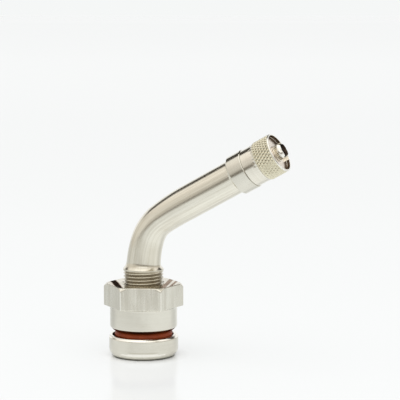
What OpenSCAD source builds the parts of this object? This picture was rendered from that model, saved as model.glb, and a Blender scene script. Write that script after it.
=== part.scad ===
// Bent clamp-in tyre valve for a tubeless wheel: turned stem with a round foot, sealing ring,
// hexagon nut, spring-loaded valve core and screwed metal cap.
// The foot stands on Z = 0, the neck rises along +Z and the stem bends towards +X.

/* [Foot] */
// Diameter of the round foot
foot_d = 17; // [15.5:0.1:20]
// Height of the foot
foot_h = 5.2; // [4.2:0.1:7]
// Radius of the foot's rounded lower edge
foot_round = 2.1; // [0.6:0.1:2.4]
// Depth of the rounding that the flat underside cuts off
foot_flat = 0.15; // [0.02:0.01:0.3]
// Bevel on the foot's upper edge
foot_bevel = 0.35; // [0.1:0.05:0.6]
// Depth of the recess that holds the sealing ring
recess_depth = 0.83; // [0.5:0.01:1.4]

/* [Sealing ring] */
// Thickness of the ring's round section
ring_section = 2.14; // [2:0.02:3]
// Radial gap between the ring and the neck
ring_neck_gap = 0.05; // [0.02:0.01:0.2]
// Radial gap between the ring and the wall of its recess
ring_wall_gap = 0.65; // [0.1:0.05:0.8]
// Gap under the ring, and between the ring and the nut
ring_seat_gap = 0.02; // [0.01:0.01:0.06]

/* [Nut] */
// Width of the hexagon across its flats
hex_across = 17; // [16:0.1:19]
// Height of the hexagon
hex_h = 5.55; // [4:0.05:8]
// Drop of the bevel at the hexagon's upper corners
hex_bevel = 0.8; // [0.4:0.05:1.4]
// How far the bevelled upper face reaches past the flats
hex_face_over = 0.65; // [0.05:0.05:0.9]
// Diameter of the round collar under the hexagon
collar_d = 16.5; // [14.5:0.1:17]
// Height of the collar
collar_h = 5.75; // [3:0.05:7]
// Bevel on the collar's lower edge
collar_bevel = 1.15; // [0.2:0.05:1.2]
// Turn of the hexagon about the neck
nut_turn = 19.4; // [0:0.1:60]
// Radial gap between the nut's bore and the neck's thread
nut_gap = 0.04; // [0.02:0.01:0.1]
// Bevel at both ends of the nut's bore
nut_bore_bevel = 0.5; // [0.2:0.05:0.8]

/* [Neck] */
// Outer diameter of the neck's thread
neck_d = 9.9; // [9:0.05:10.2]
// Length of thread that shows above the nut
neck_show = 3.35; // [2:0.05:6]
// Length by which the thread runs on past the start of the bend
neck_over = 0.3; // [0.1:0.05:0.5]
// Diameter of the flare above the thread
flare_d = 9.55; // [9:0.05:9.8]
// Length from the end of the thread to the end of the flare
flare_len = 1.8; // [1.2:0.05:2.2]
// Depth by which the flare's end sinks into the tube
flare_sink = 0.2; // [0.15:0.01:0.3]

/* [Bent tube] */
// Diameter of the plain stem
stem_d = 8.4; // [7.8:0.05:8.6]
// Radius of the gentle start of the bend
start_r = 24; // [18:0.5:36]
// Angle of the gentle start of the bend
start_angle = 19; // [8:1:24]
// Radius of the tight middle of the bend
middle_r = 10.4; // [8:0.1:16]
// Angle of the tight middle of the bend
middle_angle = 36; // [20:1:45]
// Radius of the gentle end of the bend
end_r = 65; // [40:1:90]
// Angle of the gentle end of the bend
end_angle = 6; // [2:0.5:10]
// Straight length from the bend to the mouth's collar
run_len = 15.45; // [12:0.05:40]
// Swell of the tight bend and of the straight run over the stretches beside them
swell = 0.02; // [0.01:0.01:0.05]
// Length by which those two stretches lap over their neighbours
stretch_lap = 0.2; // [0.1:0.05:0.4]

/* [Mouth] */
// Diameter of the mouth's collar
mouth_collar_d = 9.8; // [9:0.05:10.5]
// Length of the mouth's collar
mouth_collar_len = 3.85; // [3:0.05:8]
// Bevel on both edges of the mouth's collar
mouth_collar_bevel = 0.2; // [0.1:0.05:0.5]
// Outer diameter of the mouth's thread
mouth_d = 7.7; // [7.5:0.05:7.9]
// Length of the mouth beyond its collar
mouth_len = 5.4; // [4.2:0.1:7]
// Bevel at the mouth's lip, outside and inside
mouth_bevel = 0.35; // [0.1:0.05:0.5]

/* [Air way] */
// Diameter of the air way through the foot and the neck
foot_bore_d = 3; // [2.6:0.05:4]
// Diameter of the air way through the bent tube
tube_bore_d = 5; // [4.4:0.05:5.2]
// Diameter of the chamber below the core's gasket
chamber_d = 3.9; // [3.7:0.05:4.3]
// Bevel where the air way opens under the foot
bore_bevel = 0.6; // [0.2:0.1:1.2]
// Radial gap between the valve core's plug and its threaded hole
plug_gap = 0.04; // [0.02:0.01:0.08]
// Length of the cone that the core's gasket seals on
seat_cone_len = 1.2; // [0.9:0.05:1.6]

/* [Valve core] */
// Diameter of the plug's thread
plug_d = 5.2; // [5:0.02:5.4]
// Length of the plug's threaded body
plug_len = 3.1; // [2.4:0.1:5]
// Depth of the plug's tongue below the mouth's lip
plug_sunk = 0.4; // [0.2:0.05:1]
// Height of the tongue that a key turns
tongue_h = 1.5; // [1.2:0.05:2]
// Thickness of the tongue
tongue_w = 1.8; // [1.5:0.05:2]
// Width of the tongue
tongue_len = 4.4; // [3.6:0.1:4.8]
// Bore of the plug and of the barrel
core_bore_d = 2.4; // [2.3:0.02:2.5]
// Height of the air windows at the tongue's root
window_h = 0.5; // [0.3:0.05:0.7]
// Diameter of the barrel
barrel_d = 3.3; // [3.1:0.05:3.4]
// Length of the barrel
barrel_len = 7.6; // [6:0.1:9]
// Diameter of the barrel's flange
flange_d = 4.6; // [4.2:0.05:4.8]
// Height of the barrel's flange
flange_h = 0.5; // [0.4:0.05:0.8]
// Height of the barrel's inner lip, which the spring stands on
lip_h = 0.6; // [0.4:0.05:1]
// Diameter of the hole in that lip
lip_hole_d = 1.7; // [1.5:0.02:1.8]
// Gap around the gasket
gasket_gap = 0.03; // [0.01:0.01:0.06]
// Diameter of the pin
pin_d = 1.2; // [1.1:0.02:1.3]
// Radial gap between the pin and its guide in the tongue
pin_gap = 0.05; // [0.02:0.01:0.1]
// Diameter of the collar on the pin, which the spring pushes
pin_collar_d = 2.2; // [2.1:0.02:2.24]
// Height of that collar
pin_collar_h = 0.5; // [0.3:0.05:0.8]
// Depth of that collar below the plug's end
pin_collar_sunk = 0.5; // [0.2:0.05:1]
// Diameter of the pin's riveted end
rivet_d = 2; // [1.7:0.05:2.4]
// Height of the pin's riveted end
rivet_h = 0.5; // [0.3:0.05:0.8]
// Thickness of the spring's wire
wire_d = 0.36; // [0.3:0.02:0.4]
// Turns of the spring
spring_turns = 6; // [4:1:8]
// Gap between the spring and each seat
spring_gap = 0.02; // [0.01:0.01:0.05]
// Diameter of the cup
cup_d = 3.2; // [3:0.05:3.3]
// Wall and floor of the cup
cup_wall = 0.25; // [0.2:0.05:0.35]
// Height of the cup
cup_h = 0.85; // [0.7:0.05:1.2]
// Height of the rubber ring in the cup
cup_seal_h = 0.9; // [0.75:0.05:1.2]
// Gap around the rubber ring in the cup, and above it
cup_gap = 0.02; // [0.01:0.01:0.04]

/* [Cap] */
// Gap between the cap and the mouth's collar
cap_gap = 0.15; // [0.1:0.05:0.6]
// Radial gap between the cap's thread and the mouth's thread
cap_thread_gap = 0.04; // [0.02:0.01:0.1]
// Diameter of the cap's smooth skirt
skirt_d = 9.35; // [8.9:0.05:9.5]
// Length of the skirt
skirt_len = 3.35; // [1.5:0.05:4]
// Diameter of the cap's knurled head
head_d = 9.8; // [9.6:0.05:10.5]
// Bevel on both edges of the head
head_bevel = 0.15; // [0.1:0.05:0.4]
// Thickness of the rubber disc in the cap
cap_seal_h = 0.66; // [0.5:0.02:1]
// Gap above and below the rubber disc
cap_seal_gap = 0.02; // [0.01:0.01:0.05]
// Radial gap around the rubber disc
cap_seal_side_gap = 0.1; // [0.04:0.02:0.3]
// Thickness of the cap's end wall
end_wall = 1.4; // [0.5:0.05:1.6]
// Width of the rim around the cap's end
rim_w = 0.4; // [0.35:0.05:1.2]
// Height of the rim above the end wall
rim_h = 0.8; // [0.6:0.05:1.8]
// Diameter of the key stub on the cap's end
key_d = 4.1; // [3.8:0.1:5]
// Height of the key stub above the rim
key_rise = 1.35; // [1:0.05:3]
// Bevel on the key stub's end
key_bevel = 0.45; // [0.1:0.05:0.6]
// Width of the slot in the key stub
key_slot_w = 1.9; // [1.6:0.05:2.2]
// Depth of the slot in the key stub
key_slot_depth = 2; // [1.5:0.1:3]

/* [Hidden] */

$fn = 96;
nickel = "#d2cbb9";
brass = "#b99a55";
rubber_red = "#8a3f2c";
rubber_black = "#2b2a29";
white_seal = "#dfdcd2";
wire_steel = "#9c9c9a";
// Reach of a cutting solid past the face that it opens
cut = 0.5;

// Heights along the neck
recess_floor = foot_h - recess_depth;
ring_r = neck_d / 2 + ring_neck_gap + ring_section / 2;
ring_z = recess_floor + ring_seat_gap + ring_section / 2;
recess_r = ring_r + ring_section / 2 + ring_wall_gap;
nut_z = ring_z + ring_section / 2 + ring_seat_gap;
nut_h = collar_h + hex_h;
neck_top = nut_z + nut_h + neck_show;
bore_step = (tube_bore_d - foot_bore_d) / 2;

// Lengths along the mouth's axis, measured from the end of the bend and from the mouth's lip
lip_at = run_len + mouth_collar_len + mouth_len;
plug_r_hole = plug_d / 2 + plug_gap;
tongue_root = -plug_sunk - tongue_h;
plug_end = tongue_root - plug_len;
gasket_top = plug_end - flange_h;
seat_top = gasket_top - gasket_gap;
seat_end = seat_top - seat_cone_len;
barrel_end = plug_end - barrel_len;
spring_floor = barrel_end + lip_h;
pin_collar_end = plug_end - pin_collar_sunk - pin_collar_h;
cup_seal_top = barrel_end - cup_gap;
cup_floor_top = cup_seal_top - cup_seal_h - cup_gap;
cup_end = cup_floor_top - cup_wall;
spring_r = pin_collar_d / 2 - wire_d / 2;
spring_low = spring_floor + spring_gap + wire_d / 2;
spring_high = pin_collar_end - spring_gap - wire_d / 2;

// Lengths of the cap, measured from the mouth's lip
cap_low = cap_gap - mouth_len;
cap_ceiling = cap_seal_gap + cap_seal_h + cap_seal_gap;
dish_floor = cap_ceiling + end_wall;
head_end = dish_floor + rim_h;
key_end = head_end + key_rise;
head_start = cap_low + skirt_len;
cap_bore_r = mouth_d / 2 + cap_thread_gap;

// A solid turned about Z from an outline of radius and height points.
module turned(outline) {
    rotate_extrude() polygon(outline);
}

// One arc of round bar that leaves the origin along +Z and curls towards +X.
// It runs on past both of its ends by the length lap.
module arc_bar(bar_r, arc_r, angle, lap = 0) {
    more = lap / arc_r * 180 / PI;
    translate([arc_r, 0, 0])
        rotate([90, 0, 180])
            rotate_extrude(start = -more, angle = angle + 2 * more)
                translate([arc_r, 0]) circle(bar_r);
}

// Places its children where such an arc ends, with +Z along the bar.
module after_arc(arc_r, angle) {
    translate([arc_r * (1 - cos(angle)), 0, arc_r * sin(angle)])
        rotate([0, angle, 0]) children();
}

// Places its children at the end of the whole bend.
module after_bend() {
    translate([0, 0, neck_top])
        after_arc(start_r, start_angle)
            after_arc(middle_r, middle_angle)
                after_arc(end_r, end_angle) children();
}

// Places its children at the mouth's lip, with +Z out of the mouth.
module at_mouth() {
    after_bend() translate([0, 0, lip_at]) children();
}

// Round bar along the three arcs of the bend. The middle arc laps over its neighbours.
module bend_bar(bar_r) {
    translate([0, 0, neck_top]) {
        arc_bar(bar_r, start_r, start_angle);
        after_arc(start_r, start_angle) {
            arc_bar(bar_r + swell, middle_r, middle_angle, stretch_lap);
            after_arc(middle_r, middle_angle) arc_bar(bar_r, end_r, end_angle);
        }
    }
}

// Outline of the foot with its rounded lower edge, flat underside and bevelled upper edge.
module foot_outline() {
    foot_r = foot_d / 2;
    round_z = foot_round - foot_flat;
    square([foot_r - foot_round, foot_h - foot_bevel]);
    intersection() {
        translate([foot_r - foot_round, round_z]) circle(foot_round);
        square([foot_r, foot_h]);
    }
    translate([0, round_z]) square([foot_r, foot_h - foot_bevel - round_z]);
    translate([0, foot_h - foot_bevel])
        polygon([[0, 0], [foot_r, 0], [foot_r - foot_bevel, foot_bevel], [0, foot_bevel]]);
}

module foot() {
    difference() {
        rotate_extrude() foot_outline();
        translate([0, 0, recess_floor]) cylinder(r = recess_r, h = recess_depth + cut);
    }
}

// Threaded neck with a flare that runs up into the tube.
module neck() {
    thread_end = neck_top + neck_over;
    turned([
        [0, recess_floor - cut],
        [neck_d / 2, recess_floor - cut],
        [neck_d / 2, thread_end],
        [flare_d / 2, thread_end + (neck_d - flare_d) / 2],
        [stem_d / 2 - flare_sink, thread_end + flare_len],
        [0, thread_end + flare_len]
    ]);
}

// Straight run, collar and threaded mouth, from the end of the bend.
module mouth_end() {
    collar_r = mouth_collar_d / 2;
    collar_end = run_len + mouth_collar_len;
    run_r = stem_d / 2 + swell;
    turned([
        [0, -stretch_lap],
        [run_r, -stretch_lap],
        [run_r, run_len],
        [collar_r - mouth_collar_bevel, run_len],
        [collar_r, run_len + mouth_collar_bevel],
        [collar_r, collar_end - mouth_collar_bevel],
        [collar_r - mouth_collar_bevel, collar_end],
        [mouth_d / 2, collar_end],
        [mouth_d / 2, lip_at - mouth_bevel],
        [mouth_d / 2 - mouth_bevel, lip_at],
        [0, lip_at]
    ]);
}

// Air way under the foot and along the neck, opening in a cone to the width of the tube's.
module neck_bore() {
    turned([
        [0, -cut],
        [foot_bore_d / 2 + bore_bevel + cut, -cut],
        [foot_bore_d / 2, bore_bevel],
        [foot_bore_d / 2, neck_top - bore_step],
        [tube_bore_d / 2, neck_top],
        [0, neck_top]
    ]);
}

// Air way along the straight run, the core's chamber, the gasket's cone and the plug's hole.
module mouth_bore() {
    run_r = tube_bore_d / 2 + swell;
    chamber_r = chamber_d / 2;
    turned([
        [0, -stretch_lap],
        [run_r, -stretch_lap],
        [run_r, run_len],
        [chamber_r, run_len + run_r - chamber_r],
        [chamber_r, lip_at + seat_end],
        [plug_r_hole, lip_at + seat_top],
        [plug_r_hole, lip_at - mouth_bevel],
        [plug_r_hole + mouth_bevel + cut, lip_at + cut],
        [0, lip_at + cut]
    ]);
}

module stem() {
    color(nickel) difference() {
        union() {
            foot();
            neck();
            bend_bar(stem_d / 2);
            after_bend() mouth_end();
        }
        neck_bore();
        bend_bar(tube_bore_d / 2);
        after_bend() mouth_bore();
    }
}

module o_ring() {
    color(rubber_red)
        translate([0, 0, ring_z])
            rotate_extrude() translate([ring_r, 0]) circle(ring_section / 2);
}

// Hexagon with its upper corners turned off by a cone.
module hexagon() {
    corner_r = hex_across / 2 / cos(30);
    face_r = hex_across / 2 + hex_face_over;
    cone_slope = hex_bevel / (corner_r - face_r);
    intersection() {
        cylinder(r = corner_r, h = hex_h, $fn = 6);
        turned([
            [0, -cut],
            [corner_r + cut, -cut],
            [corner_r + cut, hex_h - hex_bevel - cut * cone_slope],
            [face_r, hex_h],
            [face_r - cut, hex_h + cut * cone_slope],
            [0, hex_h + cut * cone_slope]
        ]);
    }
}

module nut_collar() {
    turned([
        [0, 0],
        [collar_d / 2 - collar_bevel, 0],
        [collar_d / 2, collar_bevel],
        [collar_d / 2, collar_h],
        [0, collar_h]
    ]);
}

module nut_bore() {
    bore_r = neck_d / 2 + nut_gap;
    wide_r = bore_r + nut_bore_bevel + cut;
    turned([
        [0, -cut],
        [wide_r, -cut],
        [bore_r, nut_bore_bevel],
        [bore_r, nut_h - nut_bore_bevel],
        [wide_r, nut_h + cut],
        [0, nut_h + cut]
    ]);
}

module nut() {
    color(nickel) translate([0, 0, nut_z]) rotate([0, 0, nut_turn]) difference() {
        union() {
            nut_collar();
            translate([0, 0, collar_h]) hexagon();
        }
        nut_bore();
    }
}

// Plug with a tongue on top. Its bore breaks out of the tongue's sides and leaves two air windows.
module core_plug() {
    color(brass) at_mouth() difference() {
        union() {
            translate([0, 0, plug_end]) cylinder(d = plug_d, h = plug_len);
            intersection() {
                translate([-tongue_len / 2, -tongue_w / 2, tongue_root - cut])
                    cube([tongue_len, tongue_w, tongue_h + cut]);
                translate([0, 0, tongue_root - cut]) cylinder(d = tongue_len, h = tongue_h + cut);
            }
        }
        translate([0, 0, plug_end - cut]) cylinder(d = core_bore_d, h = plug_len + window_h + cut);
        translate([0, 0, tongue_root]) cylinder(r = pin_d / 2 + pin_gap, h = tongue_h + cut);
    }
}

module core_barrel() {
    color(brass) at_mouth() turned([
        [core_bore_d / 2, plug_end],
        [flange_d / 2, plug_end],
        [flange_d / 2, gasket_top],
        [barrel_d / 2, gasket_top],
        [barrel_d / 2, barrel_end],
        [lip_hole_d / 2, barrel_end],
        [lip_hole_d / 2, spring_floor],
        [core_bore_d / 2, spring_floor]
    ]);
}

// Gasket with a cone that follows the stem's own cone.
module core_gasket() {
    inner_r = barrel_d / 2 + gasket_gap;
    color(white_seal) at_mouth() turned([
        [inner_r, gasket_top],
        [plug_r_hole - gasket_gap, gasket_top],
        [plug_r_hole - gasket_gap, seat_top],
        [chamber_d / 2 - gasket_gap, seat_end],
        [inner_r, seat_end]
    ]);
}

// Point on the skin of the coiled wire, at a share of its length and an angle around the wire.
function wire_point(share, angle) =
    let (turn = 360 * spring_turns * share, reach = spring_r + wire_d / 2 * cos(angle))
    [reach * cos(turn), reach * sin(turn),
     spring_low + (spring_high - spring_low) * share + wire_d / 2 * sin(angle)];

// Coil of wire between the barrel's lip and the pin's collar.
module core_spring() {
    sides = 10;
    rings = 18 * spring_turns;
    points = [for (i = [0:rings], j = [0:sides - 1]) wire_point(i / rings, 360 * j / sides)];
    skin = [for (i = [0:rings - 1], j = [0:sides - 1]) let (k = (j + 1) % sides)
        [i * sides + j, i * sides + k, (i + 1) * sides + k, (i + 1) * sides + j]];
    first_end = [for (j = [sides - 1:-1:0]) j];
    last_end = [for (j = [0:sides - 1]) rings * sides + j];
    color(wire_steel) at_mouth() polyhedron(points, concat(skin, [first_end, last_end]));
}

// Pin with the collar that the spring pushes and the rivet that holds the cup.
module core_pin() {
    color(brass) at_mouth() turned([
        [0, -plug_sunk],
        [pin_d / 2, -plug_sunk],
        [pin_d / 2, pin_collar_end + pin_collar_h],
        [pin_collar_d / 2, pin_collar_end + pin_collar_h],
        [pin_collar_d / 2, pin_collar_end],
        [pin_d / 2, pin_collar_end],
        [pin_d / 2, cup_end],
        [rivet_d / 2, cup_end],
        [rivet_d / 2, cup_end - rivet_h],
        [0, cup_end - rivet_h]
    ]);
}

module core_cup() {
    hole_r = pin_d / 2 + cup_gap;
    cup_top = cup_end + cup_h;
    color(brass) at_mouth() turned([
        [hole_r, cup_end],
        [cup_d / 2, cup_end],
        [cup_d / 2, cup_top],
        [cup_d / 2 - cup_wall, cup_top],
        [cup_d / 2 - cup_wall, cup_floor_top],
        [hole_r, cup_floor_top]
    ]);
}

module core_cup_seal() {
    inner_r = pin_d / 2 + cup_gap;
    outer_r = cup_d / 2 - cup_wall - cup_gap;
    color(rubber_black) at_mouth() turned([
        [inner_r, cup_seal_top],
        [outer_r, cup_seal_top],
        [outer_r, cup_seal_top - cup_seal_h],
        [inner_r, cup_seal_top - cup_seal_h]
    ]);
}

// Outline of the cap: skirt, head, rim, dish and stub, with the threaded hole below.
module cap_outline() {
    polygon([
        [cap_bore_r, cap_low],
        [skirt_d / 2, cap_low],
        [skirt_d / 2, head_start],
        [head_d / 2 - head_bevel, head_start],
        [head_d / 2, head_start + head_bevel],
        [head_d / 2, head_end - head_bevel],
        [head_d / 2 - head_bevel, head_end],
        [head_d / 2 - rim_w, head_end],
        [head_d / 2 - rim_w, dish_floor],
        [key_d / 2, dish_floor],
        [key_d / 2, key_end - key_bevel],
        [key_d / 2 - key_bevel, key_end],
        [0, key_end],
        [0, cap_ceiling],
        [cap_bore_r, cap_ceiling]
    ]);
}

module cap_shell() {
    slot_floor = key_end - key_slot_depth;
    color(nickel) at_mouth() difference() {
        rotate_extrude() cap_outline();
        translate([-key_d / 2 - cut, -key_slot_w / 2, slot_floor])
            cube([key_d + 2 * cut, key_slot_w, key_slot_depth + cut]);
    }
}

module cap_seal() {
    color(rubber_black) at_mouth()
        translate([0, 0, cap_seal_gap])
            cylinder(r = cap_bore_r - cap_seal_side_gap, h = cap_seal_h);
}

stem();
o_ring();
nut();
core_plug();
core_barrel();
core_gasket();
core_spring();
core_pin();
core_cup();
core_cup_seal();
cap_shell();
cap_seal();
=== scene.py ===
"""Looks of a bent clamp-in tyre valve: plated metal, rubber, and a pale studio around them.

Sizes are in millimetres and become metres where a mesh is made. Lengths along the stem run from the foot's
underside, up the neck and round the bend to the lip of the mouth. Lengths along the mouth start at its lip.
"""

import logging
from collections.abc import Sequence
from dataclasses import dataclass
from enum import Enum

import bpy
import numpy as np
from mathutils import Matrix, Vector


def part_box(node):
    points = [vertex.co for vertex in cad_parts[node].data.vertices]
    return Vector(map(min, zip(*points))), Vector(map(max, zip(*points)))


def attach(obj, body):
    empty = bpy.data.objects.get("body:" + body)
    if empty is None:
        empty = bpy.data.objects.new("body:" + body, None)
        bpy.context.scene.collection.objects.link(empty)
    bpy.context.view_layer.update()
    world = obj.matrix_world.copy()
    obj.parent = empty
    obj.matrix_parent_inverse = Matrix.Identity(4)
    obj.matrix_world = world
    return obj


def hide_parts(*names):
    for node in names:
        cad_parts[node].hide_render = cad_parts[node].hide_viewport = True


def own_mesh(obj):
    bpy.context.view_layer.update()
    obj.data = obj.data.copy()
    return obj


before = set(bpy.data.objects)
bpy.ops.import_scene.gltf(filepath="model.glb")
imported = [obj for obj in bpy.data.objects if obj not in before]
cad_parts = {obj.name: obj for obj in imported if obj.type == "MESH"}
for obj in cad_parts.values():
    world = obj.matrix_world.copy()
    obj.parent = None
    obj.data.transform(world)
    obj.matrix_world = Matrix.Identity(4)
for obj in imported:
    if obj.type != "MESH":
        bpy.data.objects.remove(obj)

Array = np.ndarray
Colour = tuple[float, float, float]
Pair = tuple[float, float]
Socket = bpy.types.NodeSocket
LOG = logging.getLogger("tyre_valve")
MM = 0.001
MICRON = 1e-6
TURN = 2.0 * np.pi
SIXTH = TURN / 6.0

# Rounded corners: points of a curve, the most of a side that it takes, and the hold beyond its ends.
CURVE_POINTS = 7
CURVE_LIMIT = 0.45
HOLD = 1.3
HOLD_LIMIT = 0.48

# Finishes: the spans of noise and of soiling, painted shade and painted reflections that they change over,
# and the size and strength of their marks.
GRAIN_SPAN = (0.3, 0.7)
LINE_SPAN = (0.38, 0.64)
GRIME_SHADE_AND_REFLECTION_SPAN = (0.3, 0.95)
SMUDGES_A_METRE = 160.0
SPECK_SHARE = 0.2
SMUDGE_DULLING = 0.06


class Slot(Enum):
    """Material slots of the record."""

    NICKEL = "nickel"
    PLATED_ALLOY = "plated_alloy"
    BRASS = "brass"
    RED_RUBBER = "red_rubber"
    BLACK_RUBBER = "black_rubber"
    WHITE_SEAL = "white_seal"
    SPRING_STEEL = "spring_steel"


@dataclass(frozen=True)
class Corner:
    """A corner of an outline that is turned or swept.

    Attributes:
        along: Place along the axis, in millimetres.
        radius: Distance from the axis, in millimetres.
        rounding: Length that the rounding takes off each side, in millimetres.
    """

    along: float
    radius: float
    rounding: float = 0.0


def densified(points: Array, step: float) -> Array:
    """Adds points to a line of straight pieces.

    Args:
        points: Points of the line, one a row.
        step: Longest distance between neighbours.

    Returns:
        The line's own points and the added ones, in order.
    """
    gaps = np.linalg.norm(np.diff(points, axis=0), axis=1)
    counts = np.maximum(1, np.ceil(gaps / step).astype(int))
    places = np.concatenate([k + np.arange(c) / c for k, c in enumerate(counts)] + [[len(counts)]])
    return np.stack([np.interp(places, np.arange(len(points)), column) for column in points.T], axis=1)


def outline_of(corners: Sequence[Corner], step: float) -> Array:
    """An outline whose corners are rounded off.

    A rounding is the parabola (1 - t)^2 a + 2 t (1 - t) c + t^2 b through its two ends a and b, which lie
    on the sides, pulled towards the corner c. A point beyond each end keeps the shading of the sides flat.

    Args:
        corners: Corners in order. The first and the last aren't rounded.
        step: Longest distance between neighbouring points, in millimetres.

    Returns:
        Rows of place along the axis and radius, in millimetres.
    """
    places = np.array([(c.along, c.radius) for c in corners])
    t = np.linspace(0.0, 1.0, CURVE_POINTS)[:, None]
    parts = [places[:1]]
    for before, here, after, corner in zip(places, places[1:], places[2:], corners[1:]):
        if corner.rounding <= 0.0:
            parts.append(here[None])
            continue
        ends = []
        for side in (before, after):
            share = min(corner.rounding / np.linalg.norm(side - here), CURVE_LIMIT)
            hold = min(share * HOLD, HOLD_LIMIT)
            ends.append((here + (side - here) * share, here + (side - here) * hold))
        (a, a_hold), (b, b_hold) = ends
        curve = (1 - t) ** 2 * a + 2 * t * (1 - t) * here + t**2 * b
        parts.extend((a_hold[None], curve, b_hold[None]))
    return densified(np.concatenate([*parts, places[-1:]]), step)


def arc_points(along: float, radius: float, size: float, first: float, last: float, count: int = 17) -> Array:
    """Points of a round edge: (along - size cos a, radius + size sin a), with a from first to last.

    Args:
        along: Place of the circle's centre along the axis, in millimetres.
        radius: Distance of the circle's centre from the axis, in millimetres.
        size: Radius of the circle, in millimetres.
        first: First angle, in radians. At 0 the point lies below the centre.
        last: Last angle, in radians.
        count: How many points.

    Returns:
        Rows of place along the axis and radius, in millimetres.
    """
    angle = np.linspace(first, last, count)
    return np.stack([along - size * np.cos(angle), radius + size * np.sin(angle)], axis=1)


def lengths_of(outline: Array) -> Array:
    """Length along an outline at each of its points.

    Args:
        outline: Rows of place along the axis and radius.

    Returns:
        Lengths from the first point.
    """
    return np.concatenate([[0.0], np.cumsum(np.linalg.norm(np.diff(outline, axis=0), axis=1))])


def angles(count: int, start: float = 0.0) -> Array:
    """Evenly spread angles around.

    Args:
        count: How many.
        start: The first, in radians.

    Returns:
        The angles.
    """
    return np.arange(count) / count * TURN + start


def soft_min(a: Array, b: Array, width: float) -> Array:
    """The smaller of two heights, with a rounded change from one to the other.

    Args:
        a: First heights.
        b: Second heights.
        width: Difference over which the two melt together.

    Returns:
        The blended heights.
    """
    share = np.clip(0.5 + 0.5 * (b - a) / width, 0.0, 1.0)
    return b + (a - b) * share - width * share * (1.0 - share)


def smooth_step(x: Array, low: float, high: float) -> Array:
    """Rises from 0 at low to 1 at high along 3 t^2 - 2 t^3.

    Args:
        x: Places to read it at.
        low: Place where it starts.
        high: Place where it ends.

    Returns:
        Values from 0 to 1.
    """
    t = np.clip((x - low) / (high - low), 0.0, 1.0)
    return t * t * (3.0 - 2.0 * t)


def rise_and_fall(x: Array, rise: Pair, fall: Pair) -> Array:
    """Rises smoothly from 0 to 1, and falls back to 0 further on.

    Args:
        x: Places to read it at.
        rise: Where the rise starts and ends.
        fall: Where the fall starts and ends.

    Returns:
        Values from 0 to 1.
    """
    return smooth_step(x, *rise) * (1 - smooth_step(x, *fall))


def bell(x: Array, width: float) -> Array:
    """A bell curve around 0: exp(-(x / width)^2).

    Args:
        x: Places to read it at.
        width: Its half width.

    Returns:
        Values from 0 to 1.
    """
    return np.exp(-((x / width) ** 2))


def saw_depth(phase: Array) -> Array:
    """Depth of a thread with small flats on its crests and rounded roots.

    Args:
        phase: Place across the thread, in pitches. Crests lie at whole numbers.

    Returns:
        Depth from 0 on the crest to 1 at the root.
    """
    crest, root, lead = 0.1, 0.92, -0.12
    away = np.abs((phase + 0.5) % 1.0 - 0.5) * 2.0
    return smooth_step(np.clip(away, crest, root), lead, 1.0)


def place_object(name: str, data: bpy.types.ID) -> bpy.types.Object:
    """Puts a new object in the scene, at the origin.

    Args:
        name: Name of the object.
        data: Its mesh, light or camera.

    Returns:
        The new object.
    """
    thing = bpy.data.objects.new(name, data)
    bpy.context.collection.objects.link(thing)
    return thing


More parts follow.
